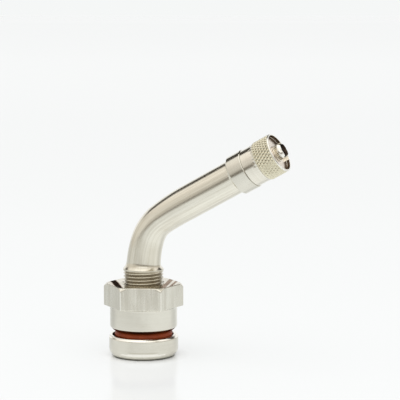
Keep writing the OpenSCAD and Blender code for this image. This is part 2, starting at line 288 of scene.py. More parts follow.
@dataclass
class Skin:
    """A closed skin of rings of points.

    Attributes:
        rings: Points in metres, indexed by ring, by place around and by coordinate.
        lengths: Length along the outline at each ring, in millimetres.
        loop: Whether the last ring joins the first. Otherwise the first and last rings each close to a point.
        finishes: Number of the finish from each ring to the next, by ring and place around.
        grime_shade_and_reflection: Soiling, painted shade in the grooves and painted dark reflections, from 0
            on
        clean metal to 1, by ring and place around. Rings that it leaves out have none.
    """

    rings: Array
    lengths: Array
    loop: bool
    finishes: Array | None = None
    grime_shade_and_reflection: Array | None = None

    @staticmethod
    def _volume(corners: Array) -> float:
        """Six times the volume inside four-cornered faces, above 0 where they look outwards.

        Args:
            corners: Points by ring, by place around, by corner and by coordinate.

        Returns:
            The volume.
        """
        first = corners[:, :, 0]
        sides = [np.cross(corners[:, :, a], corners[:, :, a + 1]) for a in (1, 2)]
        return sum(np.einsum("rci,rci->", first, side) for side in sides)

    def build(self, name: str) -> bpy.types.Object:
        """Makes the skin's mesh, with outward faces and its own map of turns and lengths.

        Args:
            name: Name of the piece.

        Returns:
            The new object, at the origin.
        """
        count, around, _ = self.rings.shape
        row = np.arange(count if self.loop else count - 1)[:, None]
        col = np.arange(around)[None]
        steps = ((0, 0), (0, 1), (1, 1), (1, 0))
        places = [(row + down) % count * around + (col + side) % around for down, side in steps]
        quads = np.stack(places, axis=-1)
        lengths = np.append(self.lengths, self.lengths[-1] + self.lengths[1] - self.lengths[0])
        turns = [np.broadcast_arrays((col + side) / around, lengths[row + down]) for down, side in steps]
        maps = np.stack([np.stack(pair, axis=-1) for pair in turns], axis=-2)
        kept = np.ones(quads.shape, bool)
        if not self.loop:
            quads[0, :, 0], quads[-1, :, 2] = 0, (count - 1) * around
            maps[0, :, 0, 0] = maps[-1, :, 2, 0] = (col[0] + 0.5) / around
            kept[0, :, 1] = kept[-1, :, 3] = False
        points = self.rings.reshape(-1, 3)
        if self._volume(points[quads]) < 0:
            quads, maps, kept = (field[:, :, ::-1] for field in (quads, maps, kept))
        used, corners = np.unique(quads[kept], return_inverse=True)
        sizes = kept.sum(axis=-1).ravel()
        mesh = bpy.data.meshes.new(name)
        mesh.vertices.add(len(used))
        mesh.vertices.foreach_set("co", points[used].astype(np.float32).ravel())
        mesh.loops.add(len(corners))
        mesh.loops.foreach_set("vertex_index", corners.astype(np.int32))
        mesh.polygons.add(len(sizes))
        mesh.polygons.foreach_set("loop_start", (np.cumsum(sizes) - sizes).astype(np.int32))
        mesh.update(calc_edges=True)
        mesh.uv_layers.new(name="Surface").data.foreach_set("uv", maps[kept].astype(np.float32).ravel())
        mesh.polygons.foreach_set("use_smooth", np.ones(len(sizes), bool))
        if self.finishes is not None:
            numbers = np.ascontiguousarray(self.finishes[: len(row)], np.int32)
            mesh.polygons.foreach_set("material_index", numbers.ravel())
        if self.grime_shade_and_reflection is not None:
            grime_shade_and_reflection = np.zeros((count, around), np.float32)
            grime_shade_and_reflection[: len(self.grime_shade_and_reflection)] = self.grime_shade_and_reflection
            mesh.attributes.new("grime_shade_and_reflection", "FLOAT", "POINT").data.foreach_set("value", grime_shade_and_reflection.ravel()[used])
        mesh.update()
        return place_object(name, mesh)


@dataclass(frozen=True)
class Arc:
    """One arc of the bend.

    Attributes:
        radius: Radius of the centre line, in millimetres.
        angle: Angle it turns by, in degrees.
    """

    radius: float
    angle: float

    @property
    def length(self) -> float:
        """Length of the centre line, in millimetres.

        Returns:
            The length.
        """
        return self.radius * np.radians(self.angle)


@dataclass(frozen=True)
class StemPath:
    """The stem's centre line: straight up the neck, round three arcs towards +X, straight to the mouth.

    Attributes:
        start: Height at which the bend starts, in millimetres.
        arcs: Arcs of the bend.
        run: Straight length from the bend to the mouth's lip, in millimetres.
    """

    start: float = 21.2
    arcs: tuple[Arc, ...] = (Arc(24.0, 19.0), Arc(10.4, 36.0), Arc(65.0, 6.0))
    run: float = 24.7

    @property
    def bend_end(self) -> float:
        """Length from the foot to the end of the bend, in millimetres.

        Returns:
            The length.
        """
        return self.start + sum(arc.length for arc in self.arcs)

    @property
    def lip(self) -> float:
        """Length from the foot to the lip, in millimetres.

        Returns:
            The length.
        """
        return self.bend_end + self.run

    def frames(self, length: Array) -> tuple[Array, Array, Array]:
        """Places and directions along the centre line.

        Each arc adds radius (cos a - cos b) along X and radius (sin b - sin a) along Z, from its own
        start angle a to the angle b reached, and the straight ends add their length.

        Args:
            length: Lengths from the foot, in millimetres.

        Returns:
            Centres in millimetres, unit directions across the line in the plane of the bend, and along it.
        """
        x, z = np.zeros_like(length), np.minimum(length, self.start)
        angle, first, done = np.zeros_like(length), 0.0, self.start
        for arc in self.arcs:
            whole = np.radians(arc.angle)
            turn = np.clip((length - done) / arc.radius, 0.0, whole)
            x = x + arc.radius * (np.cos(first) - np.cos(first + turn))
            z = z + arc.radius * (np.sin(first + turn) - np.sin(first))
            angle, first, done = angle + turn, first + whole, done + arc.length
        rest = np.maximum(length - done, 0.0)
        x, z, zero = x + rest * np.sin(first), z + rest * np.cos(first), np.zeros_like(length)
        across = np.stack([np.cos(angle), zero, -np.sin(angle)], axis=-1)
        along = np.stack([np.sin(angle), zero, np.cos(angle)], axis=-1)
        return np.stack([x, zero, z], axis=-1), across, along

    def rings(self, length: Array, reach_in: Array, reach_out: Array, theta: Array) -> Array:
        """Rings around the centre line.

        A ring's point is centre + reach_in cos(theta) across + reach_out sin(theta) Y.

        Args:
            length: Length of each ring from the foot, in millimetres.
            reach_in: Radius in the plane of the bend, by ring and place around.
            reach_out: Radius out of that plane, by ring and place around.
            theta: Angles around.

        Returns:
            Points in metres.
        """
        centre, across, _ = self.frames(length)
        sideways = np.array([0.0, 1.0, 0.0])
        flat = (reach_in * np.cos(theta))[..., None] * across[:, None]
        return (centre[:, None] + flat + (reach_out * np.sin(theta))[..., None] * sideways) * MM

    def mouth_rings(self, along: Array, reach: Array, theta: Array) -> Array:
        """Rings around the mouth's axis.

        Args:
            along: Place of each ring along the axis from the lip, in millimetres.
            reach: Radius, by ring and place around.
            theta: Angles around.

        Returns:
            Points in metres.
        """
        places = np.broadcast_to(along[:, None], reach.shape)
        return self.at_mouth(np.stack([reach * np.cos(theta), reach * np.sin(theta), places], axis=-1))

    def at_mouth(self, points: Array) -> Array:
        """Places points of the mouth's own frame.

        Args:
            points: Points in millimetres: across in the bend's plane, sideways, and out along the axis.

        Returns:
            Points in metres, in the part's frame.
        """
        centre, across, along = self.frames(np.array([self.lip]))
        turn = np.stack([across[0], [0.0, 1.0, 0.0], along[0]])
        return (centre[0] + points @ turn) * MM


# Centre line of the pieces that sit on the neck: it never comes to its bend.
UPRIGHT = StemPath(start=1e6)


class Graph:
    """Adds linked nodes to one node tree."""

    def __init__(self, tree: bpy.types.NodeTree) -> None:
        """Starts on an empty tree.

        Args:
            tree: Tree that the nodes go in.
        """
        self.tree = tree
        tree.nodes.clear()

    def add(self, kind: str, inputs: dict | None = None, **settings: object) -> bpy.types.Node:
        """Adds a node.

        Args:
            kind: Name of the node's type.
            inputs: Values or sockets, by the input's name or number.
            settings: Properties of the node.

        Returns:
            The new node.
        """
        node = self.tree.nodes.new(kind)
        for name, value in settings.items():
            setattr(node, name, value)
        for key, value in (inputs or {}).items():
            if isinstance(value, Socket):
                self.tree.links.new(value, node.inputs[key])
            else:
                node.inputs[key].default_value = value
        return node

    def math(self, operation: str, a: object, b: object = 0.0, c: object = 0.0) -> Socket:
        """Adds a sum or another operation on numbers.

        Args:
            operation: Name of the operation.
            a: First number or socket.
            b: Second number or socket.
            c: Third number or socket.

        Returns:
            The result's socket.
        """
        return self.add("ShaderNodeMath", {0: a, 1: b, 2: c}, operation=operation).outputs[0]

    def times(self, a: object, b: object) -> Socket:
        """Multiplies two numbers.

        Args:
            a: First number or socket.
            b: Second number or socket.

        Returns:
            The product's socket.
        """
        return self.math("MULTIPLY", a, b)

    def spread(self, value: object, low: float, high: float, to_low: float, to_high: float) -> Socket:
        """Stretches a range of values over another range, and holds it at the ends.

        Args:
            value: Socket to read.
            low: Value that becomes to_low.
            high: Value that becomes to_high.
            to_low: Result at low.
            to_high: Result at high.

        Returns:
            The result's socket.
        """
        keys = {0: value, 1: low, 2: high, 3: to_low, 4: to_high}
        return self.add("ShaderNodeMapRange", keys).outputs[0]

    def rise(self, value: object, span: Pair) -> Socket:
        """Rises from 0 to 1 over a span of values.

        Args:
            value: Socket to read.
            span: Values where it starts and ends.

        Returns:
            The result's socket.
        """
        return self.spread(value, *span, 0.0, 1.0)

    def fall(self, value: object, span: Pair) -> Socket:
        """Falls from 1 to 0 over a span of values.

        Args:
            value: Socket to read.
            span: Values where it starts and ends.

        Returns:
            The result's socket.
        """
        return self.spread(value, *span, 1.0, 0.0)

    def dot(self, place: Socket, way: Vector) -> Socket:
        """Measures a place or direction along a fixed direction.

        Args:
            place: Place or direction.
            way: The fixed direction.

        Returns:
            The measure's socket.
        """
        return self.add("ShaderNodeVectorMath", {0: place, 1: way}, operation="DOT_PRODUCT").outputs["Value"]

    def bump(self, height: Socket, depth: float) -> Socket:
        """Lets heights shade the surface as if they were cut in it.

        Args:
            height: Heights from 0 to 1.
            depth: Depth from 0 to 1, in micrometres.

        Returns:
            The socket of the direction that the surface faces.
        """
        keys = {"Strength": 1.0, "Distance": depth * MICRON, "Height": height}
        return self.add("ShaderNodeBump", keys).outputs[0]

    def blend(self, share: object, a: object, b: object) -> Socket:
        """Mixes two colours.

        Args:
            share: Share of the second colour.
            a: First colour or socket.
            b: Second colour or socket.

        Returns:
            The mixed colour's socket.
        """
        first, second = ((*c, 1.0) if isinstance(c, tuple) else c for c in (a, b))
        return self.add("ShaderNodeMix", {0: share, 6: first, 7: second}, data_type="RGBA").outputs[2]


class Group(Enum):
    """Effects that several finishes share, each one a group of nodes."""

    GRAIN = "round_grain"
    HANDLING = "handling_marks"

    def add_to(self, graph: Graph, inputs: dict) -> bpy.types.NodeOutputs:
        """Adds the group to a material. Its node tree is made the first time.

        Args:
            graph: Nodes to add to.
            inputs: Values or sockets, by the input's name.

        Returns:
            The group's outputs.
        """
        tree = bpy.data.node_groups.get(self.value)
        if tree is None:
            tree = bpy.data.node_groups.new(self.value, "ShaderNodeTree")
            {Group.GRAIN: _fill_grain, Group.HANDLING: _fill_handling}[self](tree)
        return graph.add("ShaderNodeGroup", inputs, node_tree=tree).outputs


def _sockets(tree: bpy.types.NodeTree, inputs: Sequence[tuple[str, str]], outputs: Sequence[str]) -> None:
    """Gives a group its sockets.

    Args:
        tree: The group.
        inputs: Names and socket types that go in.
        outputs: Names of the numbers that come out.
    """
    for name, kind in inputs:
        tree.interface.new_socket(name, in_out="INPUT", socket_type=kind)
    for name in outputs:
        tree.interface.new_socket(name, in_out="OUTPUT", socket_type="NodeSocketFloat")


def _fill_grain(tree: bpy.types.NodeTree) -> None:
    """Grain of a round piece: noise on a cylinder, stretched around it or along it.

    Args:
        tree: The group to fill.
    """
    inputs = (("Surface", "NodeSocketVector"), ("Around", "NodeSocketFloat"), ("Along", "NodeSocketFloat"))
    _sockets(tree, inputs, ("Grain",))
    graph = Graph(tree)
    given = graph.add("NodeGroupInput").outputs
    parts = graph.add("ShaderNodeSeparateXYZ", {0: given["Surface"]}).outputs
    angle = graph.times(parts[0], TURN)
    place = graph.add(
        "ShaderNodeCombineXYZ",
        {
            0: graph.times(graph.math("COSINE", angle), given["Around"]),
            1: graph.times(graph.math("SINE", angle), given["Around"]),
            2: graph.times(parts[1], given["Along"]),
        },
    ).outputs[0]
    noise = graph.add("ShaderNodeTexNoise", {"Vector": place, "Scale": 1.0, "Detail": 3.0, "Roughness": 0.6})
    graph.add("NodeGroupOutput", {"Grain": noise.outputs[0]})


def _fill_handling(tree: bpy.types.NodeTree) -> None:
    """Marks of use: broad soft smudges, and specks where the plate is pitted.

    Args:
        tree: The group to fill.
    """
    _sockets(tree, (("Place", "NodeSocketVector"), ("Size", "NodeSocketFloat")), ("Smudge", "Specks"))
    graph = Graph(tree)
    given = graph.add("NodeGroupInput").outputs
    sizes = {0: given["Place"], 3: given["Size"]}
    scaled = graph.add("ShaderNodeVectorMath", sizes, operation="SCALE").outputs[0]
    noise = {"Vector": scaled, "Scale": 1.0, "Detail": 4.0, "Distortion": 0.6}
    broad = graph.add("ShaderNodeTexNoise", noise)
    cells = graph.add("ShaderNodeTexVoronoi", {"Vector": scaled, "Scale": 7.0})
    graph.add(
        "NodeGroupOutput",
        {
            "Smudge": graph.rise(broad.outputs[0], (0.38, 0.68)),
            "Specks": graph.fall(cells.outputs["Distance"], (0.05, 0.12)),
        },
    )


def start_material(name: str) -> tuple[bpy.types.Material, Graph]:
    """Makes a material without nodes.

    Args:
        name: Name of the material.

    Returns:
        The material, and the graph that fills it.
    """
    material = bpy.data.materials.new(name)
    material.use_nodes = True
    return material, Graph(material.node_tree)


@dataclass(frozen=True)
class Plate:
    """A bright plate on turned, drawn, brushed or knurled metal.

    Attributes:
        name: Name of the material.
        light: Colour of the clean plate.
        dark: Colour of smudges and wear, and of the soiling, painted shade and painted reflections that a
            piece's attribute brings.
        rough: Roughness of the brightest and of the dullest grain.
        around: How many times the grain changes around the piece.
        along: How many times it changes along each millimetre.
        depth: Depth of the grain, in micrometres.
        smudge: Share of the dark colour in a full smudge.
        lines: Share of the dark colour in the grain's darkest lines.
        edge: Tint of what it mirrors at a grazing angle.
    """

    name: str
    light: Colour
    dark: Colour
    rough: Pair
    around: float
    along: float
    depth: float
    smudge: float
    lines: float
    edge: Colour = (1.0, 1.0, 1.0)

    def material(self) -> bpy.types.Material:
        """Makes the material.

        Returns:
            The new material.
        """
        material, graph = start_material(self.name)
        coords = graph.add("ShaderNodeTexCoord").outputs
        surface = {"Surface": coords["UV"], "Around": self.around, "Along": self.along}
        grain = Group.GRAIN.add_to(graph, surface)["Grain"]
        marks = Group.HANDLING.add_to(graph, {"Place": coords["Object"], "Size": SMUDGES_A_METRE})
        share = graph.times(marks["Smudge"], self.smudge)
        share = graph.math("ADD", graph.spread(grain, *LINE_SPAN, 0.0, self.lines), share)
        share = graph.math("MULTIPLY_ADD", marks["Specks"], SPECK_SHARE, share)
        # The piece's attribute darkens the plate with soiling, painted shade and painted reflections.
        grime_shade_and_reflection = graph.add("ShaderNodeAttribute", attribute_name="grime_shade_and_reflection").outputs["Fac"]
        grime_shade_and_reflection_share = graph.rise(grime_shade_and_reflection, GRIME_SHADE_AND_REFLECTION_SPAN)
        share = graph.math("MULTIPLY_ADD", share, graph.math("SUBTRACT", 1.0, grime_shade_and_reflection_share), grime_shade_and_reflection_share)
        dull = graph.spread(grain, *GRAIN_SPAN, *self.rough)
        bump = graph.bump(grain, self.depth)
        shader = graph.add(
            "ShaderNodeBsdfPrincipled",
            {
                "Base Color": graph.blend(share, self.light, self.dark),
                "Metallic": 1.0,
                "Specular Tint": (*self.edge, 1.0),
                "Roughness": graph.math("MULTIPLY_ADD", marks["Smudge"], SMUDGE_DULLING, dull),
                "Normal": bump,
            },
        )
        graph.add("ShaderNodeOutputMaterial", {0: shader.outputs[0]})
        return material


@dataclass(frozen=True)
class Plain:
    """A turned metal, rubber or plastic whose grain lies in the piece's own space.

    Attributes:
        name: Name of the material.
        light: Main colour.
        dark: Colour of the marks in it.
        rough: Roughness where it is smoothest and where it is dullest.
        metal: 1 for a metal and 0 for anything else.
        size: How many times its marks change in a millimetre.
        depth: Depth of its grain, in micrometres.
        shine: Strength of its plain gloss.
        fine: How much finer its grain is than its marks.
        grain: Share of the dark colour in the grain.
        smudge: Share of the dark colour in a full smudge.
    """

    name: str
    light: Colour
    dark: Colour
    rough: Pair
    metal: float
    size: float
    depth: float
    shine: float = 0.5
    fine: float = 6.0
    grain: float = 0.35
    smudge: float = 0.5

    def material(self) -> bpy.types.Material:
        """Makes the material.

        Returns:
            The new material.
        """
        material, graph = start_material(self.name)
        place = graph.add("ShaderNodeTexCoord").outputs["Object"]
        marks = Group.HANDLING.add_to(graph, {"Place": place, "Size": self.size / MM})
        noise = {"Vector": place, "Scale": self.fine * self.size / MM, "Detail": 3.0}
        fine = graph.add("ShaderNodeTexNoise", noise).outputs[0]
        bump = graph.bump(fine, self.depth)
        share = graph.math("MULTIPLY_ADD", fine, self.grain, graph.times(marks["Smudge"], self.smudge))
        shader = graph.add(
            "ShaderNodeBsdfPrincipled",
            {
                "Base Color": graph.blend(share, self.light, self.dark),
                "Metallic": self.metal,
                "Specular IOR Level": self.shine,
                "Roughness": graph.spread(fine, *GRAIN_SPAN, *self.rough),
                "Normal": bump,
            },
        )
        graph.add("ShaderNodeOutputMaterial", {0: shader.outputs[0]})
        return material


class Finish(Enum):
    """Finishes of the valve's pieces."""

    TURNED = Plate(
        "nickel_turned", (0.775, 0.755, 0.67), (0.58, 0.54, 0.45), (0.12, 0.18),
        around=0.5, along=3.2, depth=2.0, smudge=0.2, lines=0.08,
    )
    DRAWN = Plate(
        "nickel_drawn", (0.87, 0.845, 0.745), (0.60, 0.55, 0.44), (0.13, 0.20),
        around=9.0, along=0.05, depth=8.0, smudge=0.15, lines=0.4,
    )
    BRUSHED = Plate(
        "nickel_brushed", (0.85, 0.83, 0.74), (0.60, 0.57, 0.48), (0.20, 0.30),
        around=15.0, along=0.05, depth=5.0, smudge=0.15, lines=0.5,
    )
    # Its dark colour also takes the faint edges of the painted reflections on the nut's face.
    FACED = Plate(
        "nickel_faced", (0.86, 0.84, 0.75), (0.45, 0.37, 0.29), (0.14, 0.22),
        around=0.5, along=2.0, depth=3.0, smudge=0.06, lines=0.05, edge=(0.9, 0.88, 0.85),
    )
    # Its dark colour also paints the shade in the threads' roots.
    THREAD = Plate(
        "nickel_thread", (0.76, 0.72, 0.61), (0.29, 0.25, 0.18), (0.16, 0.26),
        around=0.5, along=1.2, depth=3.0, smudge=0.15, lines=0.15,
    )
    # Its dark colour also paints the shade in the knurl's pits.
    KNURLED = Plate(
        "plated_knurl", (0.83, 0.785, 0.61), (0.16, 0.125, 0.075), (0.18, 0.28),
        around=3.0, along=1.5, depth=3.0, smudge=0.1, lines=0.1,
    )
    CAP = Plate(
        "plated_cap", (0.86, 0.83, 0.735), (0.64, 0.58, 0.48), (0.10, 0.17),
        around=0.5, along=3.0, depth=3.0, smudge=0.2, lines=0.15,
    )
    DISHED = Plate(
        "plated_dish", (0.90, 0.83, 0.74), (0.70, 0.62, 0.52), (0.16, 0.24),
        around=0.5, along=3.0, depth=3.0, smudge=0.2, lines=0.1,
    )
    # Painted highlight: a lighter copy of the plate for lit edges, a patch on the foot's rounding and the key
    # stub.
    HIGHLIGHT = Plate(
        "painted_highlight", (0.95, 0.93, 0.86), (0.85, 0.82, 0.74), (0.12, 0.20),
        around=0.5, along=2.0, depth=2.0, smudge=0.1, lines=0.1,
    )
    # Painted dark reflection in streaks on the nut's upper face.
    DARK_REFLECTION = Plate(
        "painted_dark_reflection", (0.13, 0.085, 0.06), (0.05, 0.033, 0.024), (0.3, 0.4),
        around=0.5, along=2.0, depth=3.0, smudge=0.4, lines=0.2, edge=(0.2, 0.14, 0.1),
    )
    # A dimmer painted reflection around those streaks.
    DIM_REFLECTION = Plate(
        "painted_dim_reflection", (0.68, 0.60, 0.52), (0.40, 0.33, 0.27), (0.2, 0.3),
        around=0.5, along=2.0, depth=3.0, smudge=0.4, lines=0.2, edge=(0.6, 0.52, 0.46),
    )
    # Painted shade: a dark copy of the plate for the ring's recess, the slot, and parts of the dish's wall
    # and the prongs.
    PAINTED_SHADE = Plate(
        "painted_shade_plate", (0.13, 0.092, 0.066), (0.02, 0.015, 0.011), (0.35, 0.5),
        around=2.0, along=1.0, depth=4.0, smudge=0.8, lines=0.5, edge=(0.5, 0.4, 0.3),
    )
    # Painted reflection of the red ring, a dark red copy of the plate.
    RING_REFLECTION = Plate(
        "painted_ring_reflection", (0.16, 0.05, 0.022), (0.05, 0.013, 0.005), (0.35, 0.5),
        around=2.0, along=1.0, depth=4.0, smudge=0.8, lines=0.5, edge=(0.5, 0.3, 0.2),
    )
    BORE = Plain(
        "bored_brass", (0.60, 0.47, 0.26), (0.36, 0.26, 0.14), (0.30, 0.42), metal=1.0, size=0.5, depth=4.0
    )
    BRASS = Plain(
        "turned_brass", (0.78, 0.62, 0.33), (0.55, 0.40, 0.20), (0.22, 0.34), metal=1.0, size=0.6, depth=3.0
    )
    RED_RUBBER = Plain(
        "red_rubber", (0.27, 0.046, 0.009), (0.15, 0.022, 0.005), (0.40, 0.52),
        metal=0.0, size=0.4, depth=6.0, shine=0.2,
    )
    BLACK_RUBBER = Plain(
        "black_rubber", (0.035, 0.034, 0.033), (0.02, 0.02, 0.02), (0.5, 0.7), metal=0.0, size=0.5, depth=6.0
    )
    WHITE_SEAL = Plain(
        "white_seal", (0.78, 0.76, 0.70), (0.66, 0.63, 0.56), (0.38, 0.5), metal=0.0, size=0.5, depth=4.0
    )
    SPRING = Plain(
        "drawn_wire", (0.56, 0.56, 0.55), (0.36, 0.35, 0.34), (0.22, 0.34), metal=1.0, size=0.9, depth=2.0
    )


class Paints:
    """Makes each finish's material once."""

    def __init__(self) -> None:
        """Starts with no materials."""
        self._made: dict[Finish, bpy.types.Material] = {}

    def get(self, finish: Finish) -> bpy.types.Material:
        """The finish's material.

        Args:
            finish: Finish to use.

        Returns:
            Its material, the same one each time.
        """
        if finish not in self._made:
            self._made[finish] = finish.value.material()
        return self._made[finish]

    def dress(self, piece: bpy.types.Object, slot: Slot, *finishes: Finish) -> None:
        """Puts finishes on a piece.

        Args:
            piece: Piece to dress.
            slot: Material slot of the record for the piece. Not used.
            finishes: Finishes, in the order of the numbers on its faces.
        """
        if piece.data.materials:
            piece.data.materials.clear()
        for finish in finishes:
            piece.data.materials.append(self.get(finish))


@dataclass(frozen=True)
class Stem:
    """The turned and bent stem: foot, threaded neck, oval bend, straight run, collar and mouth.

    Attributes:
        path: Its centre line.
        foot_r, foot_h, foot_round, foot_flat: The foot.
        lip_edge: Corners of the foot's upper edge, which carries a painted highlight: drop below its top,
            distance in
        from its side, and rounding.
        recess_r, recess_floor: The recess for the sealing ring.
        neck_r, neck_over, neck_pitch, neck_depth: The neck's thread, which runs on past the bend's start.
        flare_r, flare_len, flare_power: The flare from the thread to the tube.
        tube_r: The plain tube.
        collar_r, collar_len, collar_bevel: The mouth's collar.
        collar_over, collar_rim: How far the collar runs on under the cap, and the bevel on that end.
        mouth_r, mouth_len, mouth_bevel, mouth_pitch, mouth_depth: The mouth's thread.
        foot_bore_r, foot_bore_bevel: The air way's narrow end in the foot, and its bevel.
        tube_bore_r, chamber_r, plug_hole_r: The rest of the air way, up to the lip.
        seat_top, seat_end: The gasket's cone, from the lip.
        highlight_at: Angle around to the middle of the painted highlight on the foot's rounding, in degrees.
            highlight_z, highlight_half: The highlight's height above the ground, and its half width.
        highlight_from: Cosine of the angle from the highlight's middle to its ends.
        line_half, line_shade: Half width and strength of the painted shade line above the highlight.
        line_fade: Cosines of the angles over which the painted shade line comes in.
        handled, handled_end: Dirt on the bend where it is gripped, and the lengths over which it ends.
        around: Points around a ring.
    """

    path: StemPath
    foot_r: float = 8.5
    foot_h: float = 5.2
    foot_round: float = 2.1
    foot_flat: float = 0.15
    lip_edge: tuple[tuple[float, float, float], ...] = (
        (0.55, 0.0, 0.1),
        (0.06, 0.15, 0.04),
        (0.0, 0.25, 0.04),
    )
    recess_r: float = 7.79
    recess_floor: float = 4.37
    neck_r: float = 4.95
    neck_over: float = 0.3
    neck_pitch: float = 0.8
    neck_depth: float = 0.5
    flare_r: float = 4.775
    flare_len: float = 1.8
    flare_power: float = 2.7
    tube_r: float = 4.2
    collar_r: float = 4.9
    collar_len: float = 3.85
    collar_bevel: float = 0.2
    collar_over: float = 0.12
    collar_rim: float = 0.1
    mouth_r: float = 3.85
    mouth_len: float = 5.4
    mouth_bevel: float = 0.35
    mouth_pitch: float = 0.794
    mouth_depth: float = 0.42
    foot_bore_r: float = 1.5
    foot_bore_bevel: float = 0.6
    tube_bore_r: float = 2.5
    chamber_r: float = 1.95
    plug_hole_r: float = 2.64
    seat_top: float = -5.53
    seat_end: float = -6.73
    highlight_at: float = -67.7
    highlight_z: float = 1.25
    highlight_half: float = 0.3
    highlight_from: float = 0.75
    line_half: float = 0.15
    line_shade: float = 0.85
    line_fade: Pair = (0.8, 0.96)
    handled: float = 0.5
    handled_end: Pair = (27.0, 34.0)
    around: int = 120

    @property
    def thread_end(self) -> float:
        """Length from the foot to the end of the neck's thread, in millimetres.

        Returns:
            The length.
        """
        return self.path.start + self.neck_over

    @property
    def mouth_start(self) -> float:
        """Length from the foot to the start of the mouth, in millimetres.

        Returns:
            The length.
        """
        return self.path.lip - self.mouth_len

    @property
    def collar_start(self) -> float:
        """Length from the foot to the mouth's collar, in millimetres.

        Returns:
            The length.
        """
        return self.mouth_start - self.collar_len

    def _outside(self) -> Array:
        """Outline of the outer skin, from under the foot to the lip.

        Returns:
            Rows of length and radius, in millimetres.
        """
        lip, thread_end = self.path.lip, self.thread_end
        centre_z, centre_r = self.foot_round - self.foot_flat, self.foot_r - self.foot_round
        first = np.arccos(centre_z / self.foot_round)
        edge = arc_points(centre_z, centre_r, self.foot_round, first, 0.25 * TURN)
        hole_r = self.foot_bore_r + self.foot_bore_bevel
        under = densified(np.array([[0.0, hole_r], [0.0, edge[0, 1] - 0.05], edge[0]]), step=0.4)
        lit_edge = [Corner(self.foot_h - drop, self.foot_r - inset, soft) for drop, inset, soft in self.lip_edge]
        foot = outline_of(
            (
                Corner(*edge[-1]),
                *lit_edge,
                Corner(self.foot_h, self.recess_r, 0.08),
                Corner(self.recess_floor, self.recess_r, 0.1),
                Corner(self.recess_floor, self.neck_r),
            ),
            step=0.4,
        )
        low, high = thread_end + self.neck_r - self.flare_r, thread_end + self.flare_len
        neck = outline_of(
            (
                Corner(self.recess_floor, self.neck_r),
                Corner(thread_end, self.neck_r, 0.04),
                Corner(low, self.flare_r),
            ),
            step=self.neck_pitch / 14,
        )
        t = np.linspace(0.0, 1.0, 15)
        flare_r = self.tube_r + (self.flare_r - self.tube_r) * (1 - t) ** self.flare_power
        flare = np.stack([low + (high - low) * t, flare_r], axis=1)
        collar_start, collar_end = self.collar_start, self.mouth_start + self.collar_over
        tube = outline_of((Corner(high, self.tube_r), Corner(collar_start, self.tube_r)), step=0.5)
        bevel, rim = self.collar_bevel, self.collar_rim
        collar = outline_of(
            (
                Corner(collar_start, self.tube_r),
                Corner(collar_start, self.collar_r - bevel, 0.04),
                Corner(collar_start + bevel, self.collar_r, 0.1),
                Corner(collar_end - rim, self.collar_r, 0.06),
                Corner(collar_end, self.collar_r - rim, 0.03),
                Corner(collar_end, self.mouth_r),
            ),
            step=0.5,
        )
        mouth = outline_of(
            (
                Corner(collar_end, self.mouth_r),
                Corner(lip - self.mouth_bevel, self.mouth_r, 0.04),
                Corner(lip, self.mouth_r - self.mouth_bevel, 0.04),
                Corner(lip, self.plug_hole_r + self.mouth_bevel),
            ),
            step=self.mouth_pitch / 12,
        )
        rest = [part[1:] for part in (foot, neck, flare, tube, collar, mouth)]
        return np.concatenate([under[:-1], edge, *rest])

    def _inside(self) -> Array:
        """Outline of the air way, from the lip back to the foot. Its two ends lie on the outer skin.

        Returns:
            Rows of length and radius, in millimetres, without the two ends.
        """
        top, lip, bevel = self.path.start, self.path.lip, self.foot_bore_bevel
        return outline_of(
            (
                Corner(lip, self.plug_hole_r + self.mouth_bevel),
                Corner(lip - self.mouth_bevel, self.plug_hole_r, 0.05),
                Corner(lip + self.seat_top, self.plug_hole_r, 0.05),
                Corner(lip + self.seat_end, self.chamber_r, 0.05),
                Corner(self.collar_start + self.tube_bore_r - self.chamber_r, self.chamber_r, 0.05),
                Corner(self.collar_start, self.tube_bore_r, 0.1),
                Corner(top, self.tube_bore_r, 0.1),
                Corner(top - self.tube_bore_r + self.foot_bore_r, self.foot_bore_r, 0.1),
                Corner(bevel, self.foot_bore_r, 0.05),
                Corner(0.0, self.foot_bore_r + bevel),
            ),
            step=0.8,
        )[1:-1]

    def _on_tube(self, along: Array) -> Array:
        """Picks out the flare, the bend and the straight run.

        Args:
            along: Length of each ring, in millimetres.

        Returns:
            Whether each ring lies on them.
        """
        return (along >= self.thread_end) & (along < self.collar_start)

    def _thread(self, along: Array, theta: Array) -> Array:
        """Depth of the two right-hand threads below their crests.

        A thread's phase is length / pitch - theta / turn, so its crest climbs by one pitch a turn. Each
        thread starts and runs out over about half a pitch.

        Args:
            along: Length of each ring, in millimetres.
            theta: Angles around.

        Returns:
            Depths in millimetres, by ring and place around.
        """
        length, turn = along[:, None], theta[None] / TURN
        start, end = self.recess_floor, self.thread_end
        neck = rise_and_fall(length, (start + 0.3, start + 0.9), (end - 0.7, end - 0.3))
        low, lip = self.mouth_start, self.path.lip
        mouth = rise_and_fall(length, (low + 0.5, low + 1.1), (lip - 0.4, lip - 0.1))
        neck_saw = saw_depth(length / self.neck_pitch - turn)
        mouth_saw = saw_depth((length - low) / self.mouth_pitch - turn)
        return neck * self.neck_depth * neck_saw + mouth * self.mouth_depth * mouth_saw

